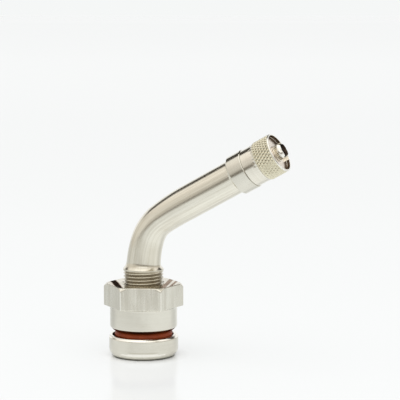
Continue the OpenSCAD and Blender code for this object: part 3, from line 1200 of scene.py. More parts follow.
    def _oval(self, along: Array) -> tuple[Array, Array]:
        """How the bend flattens the tube: narrower in its plane and wider across it.

        Args:
            along: Length of each ring, in millimetres.

        Returns:
            Shares of the radius in the bend's plane and out of it.
        """
        start, end, collar = self.path.start, self.path.bend_end, self.collar_start
        first, second = self.path.arcs[:2]
        middle = start + first.length + 0.5 * second.length
        places = (start, start + 1.0, start + 5.0, middle, end - 3.0, end, collar - 1.0, collar)
        flat = np.interp(along, places, (1.0, 1.0, 0.97, 0.91, 0.965, 0.985, 0.99, 0.99))
        wide = np.interp(along, places, (1.0, 1.0, 1.0, 1.03, 1.0, 0.99, 0.99, 0.99))
        kernel = np.array([1.0, 2.0, 3.0, 2.0, 1.0]) / 9.0
        smooth = [np.convolve(np.pad(v, 2, mode="edge"), kernel, mode="valid") for v in (flat, wide)]
        return tuple(np.where(self._on_tube(along), v, 1.0) for v in smooth)

    def _facing(self, theta: Array) -> Array:
        """How far each angle faces the middle of the painted highlight on the foot.

        Args:
            theta: Angles around.

        Returns:
            Cosines of the angles to it.
        """
        return np.cos(theta - np.radians(self.highlight_at))

    def _grime_and_shade(self, along: Array, depth: Array, theta: Array) -> Array:
        """Painted shade in the thread roots, soiling on the gripped bend, and a painted shade line on the
        foot above its painted highlight.

        Args:
            along: Length of each outer ring, in millimetres.
            depth: Depth of the threads, by ring and place around.
            theta: Angles around.

        Returns:
            Soiling and painted shade by ring and place around.
        """
        gripped = self.handled * (1 - smooth_step(along, *self.handled_end))
        gripped = np.where(self._on_tube(along), gripped, 0.0)
        # A painted shade line on the foot above its painted highlight, on the side that faces it.
        above = bell(along - self.foot_round + self.foot_flat, self.line_half)
        line = np.where(along <= self.foot_h, self.line_shade * above, 0.0)
        shown = smooth_step(self._facing(theta), *self.line_fade)
        # The threads' depth paints shade in their roots.
        return depth / self.neck_depth + gripped[:, None] + line[:, None] * shown

    def build(self, paints: Paints) -> bpy.types.Object:
        """Builds and dresses the stem.

        The skin is one loop: out along the outer outline, and back along the air way.

        Args:
            paints: Finishes to dress it with.

        Returns:
            The new piece.
        """
        outside, inside = self._outside(), self._inside()
        theta = angles(self.around, 0.25 * TURN)
        along, radius = outside.T
        depth = self._thread(along, theta)
        flat, wide = self._oval(along)
        reach = radius[:, None] - depth
        outer = self.path.rings(along, reach * flat[:, None], reach * wide[:, None], theta)
        plain = np.broadcast_to(inside[:, 1:], (len(inside), self.around))
        inner = self.path.rings(inside[:, 0], plain, plain, theta)
        looks = (Finish.TURNED, Finish.THREAD, Finish.DRAWN, Finish.BORE, Finish.HIGHLIGHT, Finish.PAINTED_SHADE)
        turned, thread, drawn, bored, lit_edge, shaded = range(len(looks))
        foot, edge_drop = along <= self.foot_h, self.lip_edge[0][0]
        recess = (along >= self.recess_floor) & (radius <= self.recess_r + 0.01) & (radius > self.neck_r)
        rows = np.full(len(along), turned)
        rows[(along > self.recess_floor + 0.02) & (along < self.thread_end)] = thread
        rows[self._on_tube(along)] = drawn
        rows[along > self.mouth_start + 0.14] = thread
        # Painted highlight on the foot's upper edge.
        rows[foot & (along > self.foot_h - edge_drop) & (radius > self.recess_r + 0.1)] = lit_edge
        # Painted shade in the ring's recess on the foot.
        rows[foot & recess] = shaded
        # Painted highlight: a lens-shaped bright patch on the foot's rounding, widest where it faces
        # highlight_at.
        lens = np.clip((self._facing(theta) - self.highlight_from) / (1.0 - self.highlight_from), 0.0, 1.0)
        half = self.highlight_half * np.sqrt(lens)
        highlit = foot[:, None] & (np.abs(along - self.highlight_z)[:, None] < half)
        finishes = np.concatenate([np.where(highlit, lit_edge, rows[:, None]), np.full(plain.shape, bored)])
        lengths = lengths_of(np.concatenate([outside, inside]))
        grime_shade_and_reflection = self._grime_and_shade(along, depth, theta)
        piece = Skin(np.concatenate([outer, inner]), lengths, True, finishes, grime_shade_and_reflection).build("stem_body")
        paints.dress(piece, Slot.NICKEL, *looks)
        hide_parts("stem")
        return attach(piece, "stem")


@dataclass(frozen=True)
class Streak:
    """A painted dark reflection in a streak on the nut's upper face.

    Attributes:
        start: One place on its middle line, in millimetres.
        end: Another place on that line.
        width: Its half width, in millimetres.
        strength: Its strength on the line, where 1 is the darkest painted reflection.
    """

    start: Pair
    end: Pair
    width: float
    strength: float


@dataclass(frozen=True)
class Nut:
    """Hexagon nut with a round collar under it.

    Attributes:
        bore_r, bore_bevel: The hole and the bevel at both its ends.
        collar_r, collar_h, collar_bevel: The round collar.
        apothem, hex_h: Half the width across the flats, and the hexagon's height.
        face_r, bevel: Radius of the bevelled upper face, and the bevel's drop at the corners.
        edge: Rounding of the hexagon's upright edges.
        painted_highlight: Half width of the painted highlight line along them, in radians about the axis.
        brim: Rounding of its other edges.
        painted_reflections: Dark streaks on the upper face, painted reflections.
            dark_from, dim_from: Strengths above which a streak takes the darker painted reflection, and the
                dimmer one around it.
        dark_from, dim_from: Strengths above which a streak is a stain, or a smear around it.
        unreflecting_band: Height of the band at the top of the collar's bevel that has no painted reflection
            of the ring.
        around: Points around a ring, a multiple of six.
        crowding: How much the points crowd at the corners, from 0 to 1.
    """

    bore_r: float = 4.99
    bore_bevel: float = 0.5
    collar_r: float = 8.25
    collar_h: float = 5.75
    collar_bevel: float = 0.8
    apothem: float = 8.5
    hex_h: float = 5.55
    face_r: float = 9.15
    bevel: float = 0.8
    edge: float = 0.16
    painted_highlight: float = 0.011
    brim: float = 0.2
    painted_reflections: tuple[Streak, ...] = (
        Streak((-9.75, 2.50), (-1.95, -9.65), 0.72, 1.3),
        Streak((4.48, 7.25), (7.41, -5.93), 0.8, 0.54),
        Streak((6.20, 7.67), (8.74, -5.35), 0.45, 0.54),
    )
    dark_from: float = 0.55
    dim_from: float = 0.3
    unreflecting_band: float = 0.3
    around: int = 288
    crowding: float = 0.85

    @property
    def height(self) -> float:
        """Height of the nut with its collar, in millimetres.

        Returns:
            The height.
        """
        return self.collar_h + self.hex_h

    def _theta(self) -> Array:
        """Angles around from a corner, crowded at the six corners.

        A share p of the points of a sixth reaches the angle (p - crowding sin(turn p) / turn) / 6 of a turn.

        Returns:
            The angles.
        """
        sixths = np.arange(self.around) / self.around * 6.0
        part = sixths % 1.0
        return (np.floor(sixths) + part - self.crowding * np.sin(TURN * part) / TURN) * TURN / 6.0

    def _limit(self, theta: Array, height: Array) -> Array:
        """Reach of the hexagon: the nearest of its flats and its upper bevel cone, with soft edges.

        Args:
            theta: Angles around from a corner.
            height: Heights above the hexagon's lower face.

        Returns:
            Radius by height and angle.
        """
        away = theta % SIXTH - 0.5 * SIXTH
        flat = self.apothem / np.cos(away)
        beside = self.apothem / np.cos(SIXTH - np.abs(away))
        prism = soft_min(flat, beside, self.edge)[None]
        corner_r = self.apothem / np.cos(0.5 * SIXTH)
        cone = self.face_r + (corner_r - self.face_r) * (self.hex_h - height)[:, None] / self.bevel
        return soft_min(prism, np.broadcast_to(cone, (len(height), len(theta))), self.brim)

    def _rings(self) -> Array:
        """Rings of the skin: down the bore, round the collar, up the flats and in over the upper face.

        Returns:
            Rows of heights above the collar's lower face, round radii, shares of the hexagon, and insets from
            its reach.
        """
        height, edge = self.height, self.brim
        wide = self.bore_r + self.bore_bevel
        turned = outline_of(
            (
                Corner(height - self.bore_bevel, self.bore_r),
                Corner(self.bore_bevel, self.bore_r, 0.05),
                Corner(0.0, wide, 0.08),
                Corner(0.0, self.collar_r - self.collar_bevel, 0.12),
                Corner(self.collar_bevel, self.collar_r, 0.2),
                Corner(self.collar_h, self.collar_r),
            ),
            step=0.45,
        )
        quarter = np.linspace(0.0, 0.25 * TURN, 5)
        drop, inset = edge * (1 - np.cos(quarter)), edge * (1 - np.sin(quarter))
        ends = np.array([[self.collar_h + HOLD * edge], [height - HOLD * edge]])
        flats = densified(ends, step=0.12)[:, 0]
        sides = np.concatenate([self.collar_h + drop, flats, height - drop[::-1]])
        insets = np.concatenate([inset, np.zeros_like(flats), inset[::-1]])
        outwards = np.array([0.02, 0.12, 0.5, 0.88, 0.98])
        inwards = np.concatenate([[0.985, 0.96], np.linspace(0.93, 0.07, 24), [0.015, 0.0]])
        parts = (
            (*turned.T, 0.0, 0.0),
            (self.collar_h, self.collar_r, outwards, edge),
            (sides, 0.0, 1.0, insets),
            (height, wide, inwards, edge),
        )
        return np.concatenate([np.stack(np.broadcast_arrays(*part)) for part in parts], axis=1)

    def build(self, paints: Paints) -> bpy.types.Object:
        """Builds and dresses the nut.

        Each ring lies between a round radius and the hexagon's reach at its height, by a share that is 0 on
        the collar and in the bore, 1 on the flats, and runs from one to the other across the end faces.

        Args:
            paints: Finishes to dress it with.

        Returns:
            The new piece.
        """
        low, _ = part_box("nut")
        along, round_r, share, inset = self._rings()
        theta = self._theta()
        hexagon = self._limit(theta, np.clip(along - self.collar_h, 0.0, self.hex_h)) - inset[:, None]
        reach = round_r[:, None] * (1 - share[:, None]) + hexagon * share[:, None]
        rings = UPRIGHT.rings(along + low.z / MM, reach, reach, theta + self._turn())
        lengths = lengths_of(np.stack([along, reach[:, self.around // 12]], axis=1))
        painted_reflections = (Finish.DARK_REFLECTION, Finish.DIM_REFLECTION, Finish.RING_REFLECTION)
        looks = (Finish.TURNED, Finish.BRUSHED, Finish.FACED, Finish.HIGHLIGHT, *painted_reflections)
        turned, brushed, faced, lit_edge, dark_streak, dim_streak, ring_mirrored = range(len(looks))
        top, flats = along > self.height - 1e-6, share >= 1.0
        rows = np.where(flats, brushed, np.where(top, faced, turned))
        # Painted highlight lines along the hexagon's upright edges.
        corner = np.abs(theta % SIXTH - 0.5 * SIXTH) > 0.5 * SIXTH - self.painted_highlight
        finishes = np.where(flats[:, None] & corner, lit_edge, rows[:, None])
        # Painted dark reflections in streaks on the upper face.
        grime_shade_and_reflection = self._reflection_streaks(rings[..., :2] / MM) * top[:, None]
        marks = np.where(grime_shade_and_reflection > self.dim_from, dim_streak, finishes)
        finishes = np.where(grime_shade_and_reflection > self.dark_from, dark_streak, marks)
        # Painted reflection of the red ring on the lower part of the collar's bevel.
        finishes[along < self.collar_bevel - self.unreflecting_band] = ring_mirrored
        finishes[: np.argmin(along)] = turned
        piece = Skin(rings, lengths, True, finishes, grime_shade_and_reflection).build("nut_body")
        paints.dress(piece, Slot.NICKEL, *looks)
        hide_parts("nut")
        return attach(piece, "nut")

    def _reflection_streaks(self, place: Array) -> Array:
        """Painted dark reflections on the nut's upper face: narrow bands around lines that run across it.

        A band's strength falls with the distance from its line as a bell curve.

        Args:
            place: Level places on the face, in millimetres.

        Returns:
            Strengths, where 1 is the darkest stain.
        """
        strength = np.zeros(place.shape[:-1])
        for streak in self.painted_reflections:
            way = np.subtract(streak.end, streak.start)
            way = way / np.hypot(*way)
            off = (place - streak.start) @ np.array([way[1], -way[0]])
            strength = np.maximum(strength, streak.strength * bell(off, streak.width))
        return strength

    @staticmethod
    def _turn() -> float:
        """Angle of one of the hexagon's corners about the neck, read from the frame.

        Returns:
            The angle in radians.
        """
        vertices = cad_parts["nut"].data.vertices
        places = np.empty(3 * len(vertices), np.float32)
        vertices.foreach_get("co", places)
        points = places.reshape(-1, 3)[:, :2].astype(float)
        far = points[np.argmax(np.hypot(*points.T))]
        return float(np.arctan2(far[1], far[0]))


@dataclass(frozen=True)
class SealRing:
    """Round rubber ring between the foot and the nut.

    Attributes:
        radius: Radius of its centre line.
        section: Radius of its round section.
        height: Height of its centre line.
        seam: Height of the moulding seam on its outer and inner edges.
        seam_half: Half width of the seam, as a share of the section's radius.
        around_section: Points around the section.
        around: Points around the ring.
    """

    radius: float = 6.07
    section: float = 1.07
    height: float = 5.46
    seam: float = 0.025
    seam_half: float = 0.07
    around_section: int = 64
    around: int = 160

    def build(self, paints: Paints) -> bpy.types.Object:
        """Builds and dresses the ring: a torus, a little less thick beside its narrow moulding seam.

        Args:
            paints: Finishes to dress it with.

        Returns:
            The new piece.
        """
        angle, theta = angles(self.around_section), angles(self.around)
        thick = self.section - self.seam + self.seam * bell(np.sin(angle), self.seam_half)
        along = self.height + thick * np.sin(angle)
        reach = self.radius + thick * np.cos(angle)
        wide = np.broadcast_to(reach[:, None], (len(angle), len(theta)))
        rings = UPRIGHT.rings(along, wide, wide, theta)
        piece = Skin(rings, lengths_of(np.stack([along, reach], axis=1)), True).build("seal_ring")
        paints.dress(piece, Slot.RED_RUBBER, Finish.RED_RUBBER)
        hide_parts("o_ring")
        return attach(piece, "stem")


@dataclass(frozen=True)
class Cap:
    """Metal cap: smooth skirt, knurled head, raised rim, dish and a slotted key stub.

    Attributes:
        path: The stem's centre line, for the mouth's place.
        low, head_start, head_end, dish_floor, ceiling: Places along the mouth's axis, from the lip.
        bore_r, skirt_r, head_r, rim_in_r: Radii.
        bevel: Bevel on both edges of the head.
        lit_rim: Width of the painted highlight band below the bevel at the head's end.
        diamonds: Diamonds of the knurl around the head.
        slope: Angle of the knurl's grooves to the axis, in degrees.
        groove: Depth of the knurl.
        groove_share: Share of the knurl that the walls of one family of grooves take up.
        low_side_fade: Share of the painted shade in the knurl's pits that is left out on the side that hangs
            down.
        low_side_span: Cosines of the angles over which that side starts.
        key_r, key_end, key_bevel, key_round, slot_w, slot_floor: The key stub.
        slot_shade_r: Radius of the painted shade on the slot's floor.
        prong_shade: Where the painted shade on the prongs starts and ends, across the stub.
        around: Points around a ring.
        around_prong: Points around a prong.
    """

    path: StemPath
    low: float = -5.25
    head_start: float = -1.9
    head_end: float = 2.9
    dish_floor: float = 2.1
    ceiling: float = 0.70
    bore_r: float = 3.89
    skirt_r: float = 4.675
    head_r: float = 4.9
    rim_in_r: float = 4.5
    bevel: float = 0.15
    lit_rim: float = 0.25
    diamonds: int = 39
    slope: float = 30.0
    groove: float = 0.2
    groove_share: float = 0.8
    low_side_fade: float = 0.9
    low_side_span: Pair = (0.1, 0.6)
    key_r: float = 2.05
    key_end: float = 4.25
    key_bevel: float = 0.45
    key_round: float = 0.12
    slot_w: float = 1.9
    slot_floor: float = 2.25
    slot_shade_r: float = 1.2
    prong_shade: Pair = (-1.75, 1.35)
    around: int = 390
    around_prong: int = 144

    def _knurl(self, along: Array, theta: Array) -> tuple[Array, Array]:
        """Depth of the knurl: two families of grooves that cross at equal slopes and leave diamonds.

        A family's phase is diamonds (theta / turn +- along tan(slope) / girth). The deeper of the two
        grooves counts at each place, and both run out at the head's edges. Painted shade lies in the pits
        where they cross, less on the side that hangs down.

        Args:
            along: Place of each ring from the lip, in millimetres.
            theta: Angles around.

        Returns:
            Depths in millimetres and painted shade from 0 to 1, by ring and place around.
        """
        girth = TURN * self.head_r
        lean = np.tan(np.radians(self.slope)) / girth * along[:, None]
        phases = [self.diamonds * (theta[None] / TURN + side * lean) for side in (1.0, -1.0)]
        away = [np.abs(phase % 1.0 - 0.5) * 2.0 for phase in phases]
        grooves = [1.0 - smooth_step(x, 0.0, self.groove_share) for x in away]
        start, end = self.head_start + self.bevel, self.head_end - self.bevel
        run = rise_and_fall(along, (start - 0.3, start + 0.05), (end - 0.3, end - 0.1))[:, None]
        kept = 1.0 - self.low_side_fade * smooth_step(np.cos(theta), *self.low_side_span)
        # Painted shade in the pits where the grooves cross, less on the side that hangs down.
        pit_shade = np.sqrt(grooves[0] * grooves[1]) * kept
        return self.groove * np.maximum(*grooves) * run, pit_shade * run

    def _outline(self) -> Array:
        """Outline of the shell: out from the ceiling, round the skirt and the head, and in over the dish.

        Returns:
            Rows of place from the lip and radius, in millimetres.
        """
        head, bevel = self.head_r, self.bevel
        skirt = outline_of(
            (
                Corner(self.ceiling, 0.0),
                Corner(self.ceiling, self.bore_r, 0.1),
                Corner(self.low, self.bore_r, 0.1),
                Corner(self.low, self.skirt_r, 0.05),
                Corner(self.head_start, self.skirt_r),
            ),
            step=0.6,
        )
        knurl = outline_of(
            (
                Corner(self.head_start, self.skirt_r),
                Corner(self.head_start + bevel, head, 0.08),
                Corner(self.head_end - bevel, head, 0.08),
                Corner(self.head_end, head - bevel, 0.06),
            ),
            step=0.07,
        )
        dish = outline_of(
            (
                Corner(self.head_end - 0.1, head - bevel + 0.1),
                Corner(self.head_end, head - bevel, 0.05),
                Corner(self.head_end, self.rim_in_r, 0.05),
                Corner(self.dish_floor, self.rim_in_r - 0.02, 0.12),
                Corner(self.dish_floor, self.key_r, 0.1),
                Corner(self.slot_floor, self.key_r, 0.04),
                Corner(self.slot_floor, 0.0),
            ),
            step=0.25,
        )
        return np.concatenate([skirt, knurl[1:], dish[3:]])

    def build(self, paints: Paints) -> bpy.types.Object:
        """Builds and dresses the cap's shell and the two prongs of its key stub.

        Args:
            paints: Finishes to dress them with.

        Returns:
            The shell. The prongs are its children.
        """
        outline = self._outline()
        along, radius = outline.T
        theta = angles(self.around, 0.25 * TURN)
        outer = (radius > self.skirt_r - 0.02) & (along > self.head_start - 0.05)
        depth, pit_shade = (np.where(outer[:, None], field, 0.0) for field in self._knurl(along, theta))
        looks = (Finish.CAP, Finish.KNURLED, Finish.PAINTED_SHADE, Finish.HIGHLIGHT, Finish.DISHED)
        smooth, knurled, shaded, lit_edge, dished = range(len(looks))
        rim = self.head_end - self.bevel - self.lit_rim
        rows = np.full(len(along), smooth)
        rows[outer & (along > self.head_start + 0.05) & (along < rim)] = knurled
        # Painted shade on the slot's floor.
        rows[(along > self.dish_floor) & (radius < self.slot_shade_r)] = shaded
        # Painted highlight on the head's end, from the band below its bevel over the rim.
        rows[(along > rim) & (radius > self.rim_in_r - 0.02)] = lit_edge
        dish = (along < self.slot_floor) & (along > self.ceiling + 0.5)
        rows[dish & (radius < self.rim_in_r - 0.1)] = dished
        # Painted shade on the dish's inner wall, on two stretches of its half away from the camera.
        wall = (radius < self.rim_in_r + 0.01) & (radius > self.rim_in_r - 0.1)
        wall = wall & (along > self.dish_floor + 0.08)
        dark = (np.sin(theta) > 0.0) & (np.abs(np.cos(theta)) > 0.5)
        finishes = np.where(wall[:, None] & dark, shaded, rows[:, None])
        rings = self.path.mouth_rings(along, radius[:, None] - depth, theta)
        piece = Skin(rings, lengths_of(outline), False, finishes, pit_shade).build("cap_body")
        paints.dress(piece, Slot.PLATED_ALLOY, *looks)
        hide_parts("cap_shell")
        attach(piece, "cap")
        for side, name in ((1.0, "key_prong_a"), (-1.0, "key_prong_b")):
            prong = self._prong(name, side)
            # The prongs take the painted highlight plate, with painted shade on their slot walls and on one
            # end.
            paints.dress(prong, Slot.PLATED_ALLOY, Finish.HIGHLIGHT, Finish.PAINTED_SHADE)
            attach(prong, "cap")
        return piece

    def _prong(self, name: str, side: float) -> bpy.types.Object:
        """One half of the slotted stub.

        Its outline is the part of the stub's circle beyond the slot's wall, with rounded corners: the soft
        minimum of the circle's and the wall's reach from a point inside it. The rings rise along that
        outline and shrink towards the point at the bevelled end.

        Args:
            name: Name of the piece.
            side: 1 for the prong towards +Y and -1 for the other.

        Returns:
            The new piece.
        """
        inner, bevel = 0.5 * self.slot_w, self.key_bevel
        middle = 0.5 * (inner + self.key_r)
        angle = angles(self.around_prong)
        up, over = np.sin(angle), np.cos(angle)
        circle = -middle * up + np.sqrt(np.maximum(self.key_r**2 - (middle * over) ** 2, 0.0))
        nearest, furthest = 1e-6, 9.0
        wall = np.minimum((middle - inner) / np.maximum(-up, nearest), furthest)
        reach = soft_min(circle, wall, self.key_round)
        heights = self.slot_floor + np.array([-0.03, -0.03, 0.3])
        drops = np.array([1.5, 1.1, 0.85, 0.4, 0.1, 0.0, 0.0, 0.0, 0.0]) * bevel
        inset = np.array([0.0, 0.0, 0.0, 0.0, 0.1, 0.35, 0.65, 0.9, 1.0, 1.0, 1.0, 1.0]) * bevel
        shrink = np.concatenate([[0.0], np.ones(8), [0.9, 0.4, 0.0]])
        along = np.concatenate([heights, self.key_end - drops])
        size = np.maximum(reach[None] - inset[:, None], 0.05) * shrink[:, None]
        x, y = size * over, side * (middle + size * up)
        points = np.stack([x, y, np.broadcast_to(along[:, None], size.shape)], axis=-1)
        lengths = lengths_of(np.stack([along, size[:, 0]], axis=1))
        # Painted shade on the slot walls, and on the end of the prong towards +Y.
        end = (side > 0) & (along > self.key_end - 1.2 * bevel)
        shade_start, shade_end = self.prong_shade
        shaded = ((wall < circle)[None] | end[:, None]) & (x > shade_start) & (x < shade_end)
        return Skin(self.path.at_mouth(points), lengths, False, shaded.astype(int)).build(name)


@dataclass(frozen=True)
class Core:
    """The valve core under the cap. Its turned pieces keep their CAD shapes, and its spring is coiled here.

    Attributes:
        path: The stem's centre line, for the mouth's place.
        low: Lower end of the spring's centre line, from the lip.
        high: Upper end of the spring's centre line, from the lip.
        coil_r: Radius of the coil.
        wire_r: Radius of the wire.
        turns: Turns of the coil.
        closing: How much closer the coil is wound at its ends, from 0 to 1.
        travel: How far the pin can be pressed. Not used.
        rings_a_turn: Rings of the wire in each turn.
        around: Points around the wire.
    """

    path: StemPath
    low: float = -11.80
    high: float = -6.20
    coil_r: float = 0.92
    wire_r: float = 0.18
    turns: float = 6.0
    closing: float = 0.5
    travel: float = 1.3
    rings_a_turn: int = 48
    around: int = 12

    def build(self, paints: Paints) -> bpy.types.Object:
        """Dresses the core's CAD pieces and builds the spring.

        Args:
            paints: Finishes to dress them with.

        Returns:
            The spring.
        """
        for node, slot, finish in (
            ("core_plug", Slot.BRASS, Finish.BRASS),
            ("core_barrel", Slot.BRASS, Finish.BRASS),
            ("core_pin", Slot.BRASS, Finish.BRASS),
            ("core_cup", Slot.BRASS, Finish.BRASS),
            ("core_gasket", Slot.WHITE_SEAL, Finish.WHITE_SEAL),
            ("core_cup_seal", Slot.BLACK_RUBBER, Finish.BLACK_RUBBER),
            ("cap_seal", Slot.BLACK_RUBBER, Finish.BLACK_RUBBER),
        ):
            paints.dress(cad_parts[node], slot, finish)
        spring = self._spring()
        paints.dress(spring, Slot.SPRING_STEEL, Finish.SPRING)
        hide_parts("core_spring")
        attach(spring, "stem")
        _, _, axis = self.path.frames(np.array([self.path.lip]))
        anchor = self.path.at_mouth(np.array([0.0, 0.0, self.low]))
        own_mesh(spring)
        return spring

    def _spring(self) -> bpy.types.Object:
        """The coiled wire.

        Its centre line is (coil_r cos a, coil_r sin a, h), where a grows by a turn for each coil and h by
        the same share of the height, with both ends wound close. Its rings stand across that line.

        Returns:
            The new piece.
        """
        share = np.linspace(0.0, 1.0, int(self.rings_a_turn * self.turns))
        angle = share * self.turns * TURN
        rise = smooth_step(share, -0.02, 1.02)
        rise = (rise - rise[0]) / (rise[-1] - rise[0]) * self.closing + (1.0 - self.closing) * share
        height = self.low + (self.high - self.low) * rise
        zero = np.zeros_like(angle)
        out = np.stack([np.cos(angle), np.sin(angle), zero], axis=-1)
        line = out * self.coil_r + np.stack([zero, zero, height], axis=-1)
        tangent = np.gradient(line, axis=0)
        tangent /= np.linalg.norm(tangent, axis=1, keepdims=True)
        side = np.cross(tangent, out)
        phi = angles(self.around)[None, :, None]
        thick = np.full(len(share), self.wire_r)
        thick[[0, -1]] = 0.0
        ring = np.cos(phi) * out[:, None] + np.sin(phi) * side[:, None]
        points = line[:, None] + thick[:, None, None] * ring
        return Skin(self.path.at_mouth(points), angle * self.coil_r, False).build("spring_coil")


@dataclass(frozen=True)
class Studio:
    """White sheet and backdrop, the room that the metal mirrors, soft light and the camera.

    A span that ends in depth, height or across is a range of that part of a mirrored direction, over which a
    piece of the room starts or ends. Depth runs level, away from the camera, and across runs to its right.

    Attributes:
        azimuth: Turn of the camera about the vertical, in degrees from -Y towards +X.
        elevation: Height of the line of sight above the horizon, in degrees.
        distance: Distance of the camera along that line, in millimetres.
        slide: Shift of the camera to its right, in millimetres.
        lift: Shift of the camera upwards, in millimetres.
        lens: Focal length on a sensor of 36 mm, in millimetres.
        white: Colour of the sheet and the backdrop.
        daylight: Light of the room on what isn't metal.
        walls: Colours of the walls from the table upwards, by share of their height.
        left_wall, left_across, left_height: Colour and ends of the wall on the left.
        gap, gap_depth, gap_height: Colour and starts of the dark gap beside and above the backdrop.
        backdrop, backdrop_depth, backdrop_height: Colour, start and end of the mirrored backdrop.
        lamp, lamp_depth, lamp_low, lamp_high: Colour, end, start and end of the window behind the camera.
        floor_half: Half the width of the floor, in metres.
        paper: Colour of the sheet by the part.
        foot_shade, foot_edge: Colour of the painted shadow on the sheet under the foot, and the distances
            over which it ends.
        sheet: How far the mirrored sheet reaches towards the camera, in metres.
        sheet_fade: Half the width of that sheet's soft edge, in metres.
        table: Colour of the table beyond the sheet.
        aside_in, aside_out: Bearings over which the dimmer sheet obliquely behind the part starts and ends.
        aside_dim: Brightness of that dimmer sheet.
        across_dim: Brightness of the mirrored sheet to the left and to the right of the part.
        glow, glow_edge: Share of even light on the sheet, and the distances over which it comes in.
        mirrored_glow, mirrored_edge: The same for the share that is added where metal mirrors the sheet.
        aim: Middle of the part, which the lights face.
    """

    azimuth: float = 22.339
    elevation: float = 6.677
    distance: float = 400.03
    slide: float = 13.852
    lift: float = 38.040
    lens: float = 146.07
    white: Colour = (0.915, 0.93, 0.925)
    daylight: Colour = (0.92, 0.92, 0.92)
    walls: tuple[tuple[float, Colour], ...] = (
        (0.0, (0.42, 0.39, 0.35)),
        (0.18, (0.50, 0.47, 0.43)),
        (0.28, (0.64, 0.61, 0.56)),
        (0.46, (0.76, 0.72, 0.67)),
        (0.60, (0.94, 0.89, 0.83)),
        (0.75, (1.08, 1.05, 1.0)),
        (1.0, (1.4, 1.38, 1.34)),
    )
    left_wall: Colour = (0.80, 0.77, 0.72)
    left_across: Pair = (-0.92, -0.66)
    left_height: Pair = (0.3, 0.5)
    gap: Colour = (0.055, 0.048, 0.038)
    gap_depth: Pair = (0.40, 0.50)
    gap_height: Pair = (0.30, 0.42)
    backdrop: Colour = (1.02, 1.02, 1.02)
    backdrop_depth: Pair = (0.66, 0.76)
    backdrop_height: Pair = (0.36, 0.44)
    lamp: Colour = (1.25, 1.25, 1.25)
    lamp_depth: Pair = (-0.78, -0.64)
    lamp_low: Pair = (0.26, 0.42)
    lamp_high: Pair = (0.52, 0.62)
    floor_half: float = 20.0
    paper: Colour = (0.83, 0.84, 0.84)
    foot_shade: Colour = (0.17, 0.17, 0.14)
    foot_edge: Pair = (0.0071, 0.0079)
    sheet: float = 0.165
    sheet_fade: float = 0.02
    table: Colour = (0.24, 0.22, 0.19)
    aside_in: Pair = (0.1, 0.45)
    aside_out: Pair = (0.65, 0.9)
    aside_dim: float = 0.8
    across_dim: Pair = (0.92, 1.03)
    glow: float = 0.55
    glow_edge: Pair = (0.0085, 0.0115)
    mirrored_glow: float = 0.45
    mirrored_edge: Pair = (0.015, 0.05)
    aim: tuple[float, float, float] = (0.01, 0.0, 0.025)

    def build(self) -> None:
        """Makes the camera, the world, the floor and the lights."""
        self._camera()
        self._world()
        self._floor()
        self._light("key", place=(-0.12, -0.25, 0.6), size=0.60, watts=1.4)
        self._light("side", place=(0.45, -0.25, 0.40), size=0.50, watts=0.7)

    def _level(self) -> tuple[Vector, Vector]:
        """The camera's level directions.

        Returns:
            To its right, and away from it.
        """
        turn = np.radians(self.azimuth)
        return Vector((np.cos(turn), np.sin(turn), 0.0)), Vector((-np.sin(turn), np.cos(turn), 0.0))

    def _camera(self) -> None:
        """Places the camera at the photograph's viewpoint."""
        right, away = self._level()
        tilt, top = np.radians(self.elevation), Vector((0.0, 0.0, 1.0))
        up, back = top * np.cos(tilt) + away * np.sin(tilt), top * np.sin(tilt) - away * np.cos(tilt)
        data = bpy.data.cameras.new("camera")
        data.lens, data.sensor_width = self.lens, 36.0
        data.clip_start, data.clip_end = 0.01, 100.0
        camera = place_object("camera", data)
        place = (back * self.distance + right * self.slide + up * self.lift) * MM
        camera.matrix_world = Matrix.Translation(place) @ Matrix((right, up, back)).transposed().to_4x4()
        bpy.context.scene.camera = camera

    def _room(self, graph: Graph) -> Socket:
        """The room that the metal mirrors: walls, a gap beside the backdrop, and a window behind the camera.

        Args:
            graph: Nodes of the world.

        Returns:
            The socket of its colour.
        """
        right, away = self._level()
        place = graph.add("ShaderNodeTexCoord").outputs["Generated"]
        height = graph.add("ShaderNodeSeparateXYZ", {0: place}).outputs[2]
        depth, across = graph.dot(place, away), graph.dot(place, right)
        ramp = graph.add("ShaderNodeValToRGB", {0: graph.rise(height, (-0.1, 1.0))})
        while len(ramp.color_ramp.elements) < len(self.walls):
            ramp.color_ramp.elements.new(0.5)
        for element, (at, colour) in zip(ramp.color_ramp.elements, self.walls):
            element.position, element.color = at, (*colour, 1.0)
        left = graph.times(graph.fall(across, self.left_across), graph.fall(height, self.left_height))
        beside = graph.times(graph.rise(depth, self.gap_depth), graph.rise(height, self.gap_height))
        behind = graph.times(graph.rise(depth, self.backdrop_depth), graph.fall(height, self.backdrop_height))
        front = graph.times(graph.fall(depth, self.lamp_depth), graph.rise(height, self.lamp_low))
        front = graph.times(front, graph.fall(height, self.lamp_high))
        room = graph.blend(left, ramp.outputs[0], self.left_wall)
        room = graph.blend(beside, room, self.gap)
        room = graph.blend(behind, room, self.backdrop)
        return graph.blend(front, room, self.lamp)

    def _world(self) -> None:
        """A white backdrop. Metal mirrors a room instead, whose walls brighten from the table upwards."""
        world = bpy.data.worlds.new("studio")
        bpy.context.scene.world = world
        world.use_nodes = True
        graph = Graph(world.node_tree)
        rays = graph.add("ShaderNodeLightPath").outputs
        seen = graph.math("MAXIMUM", rays["Is Camera Ray"], rays["Is Transmission Ray"])
        lit = graph.blend(rays["Is Glossy Ray"], self.daylight, self._room(graph))
        colour = graph.blend(seen, lit, self.white)
        back = graph.add("ShaderNodeBackground", {"Color": colour, "Strength": 1.0})
        graph.add("ShaderNodeOutputWorld", {0: back.outputs[0]})

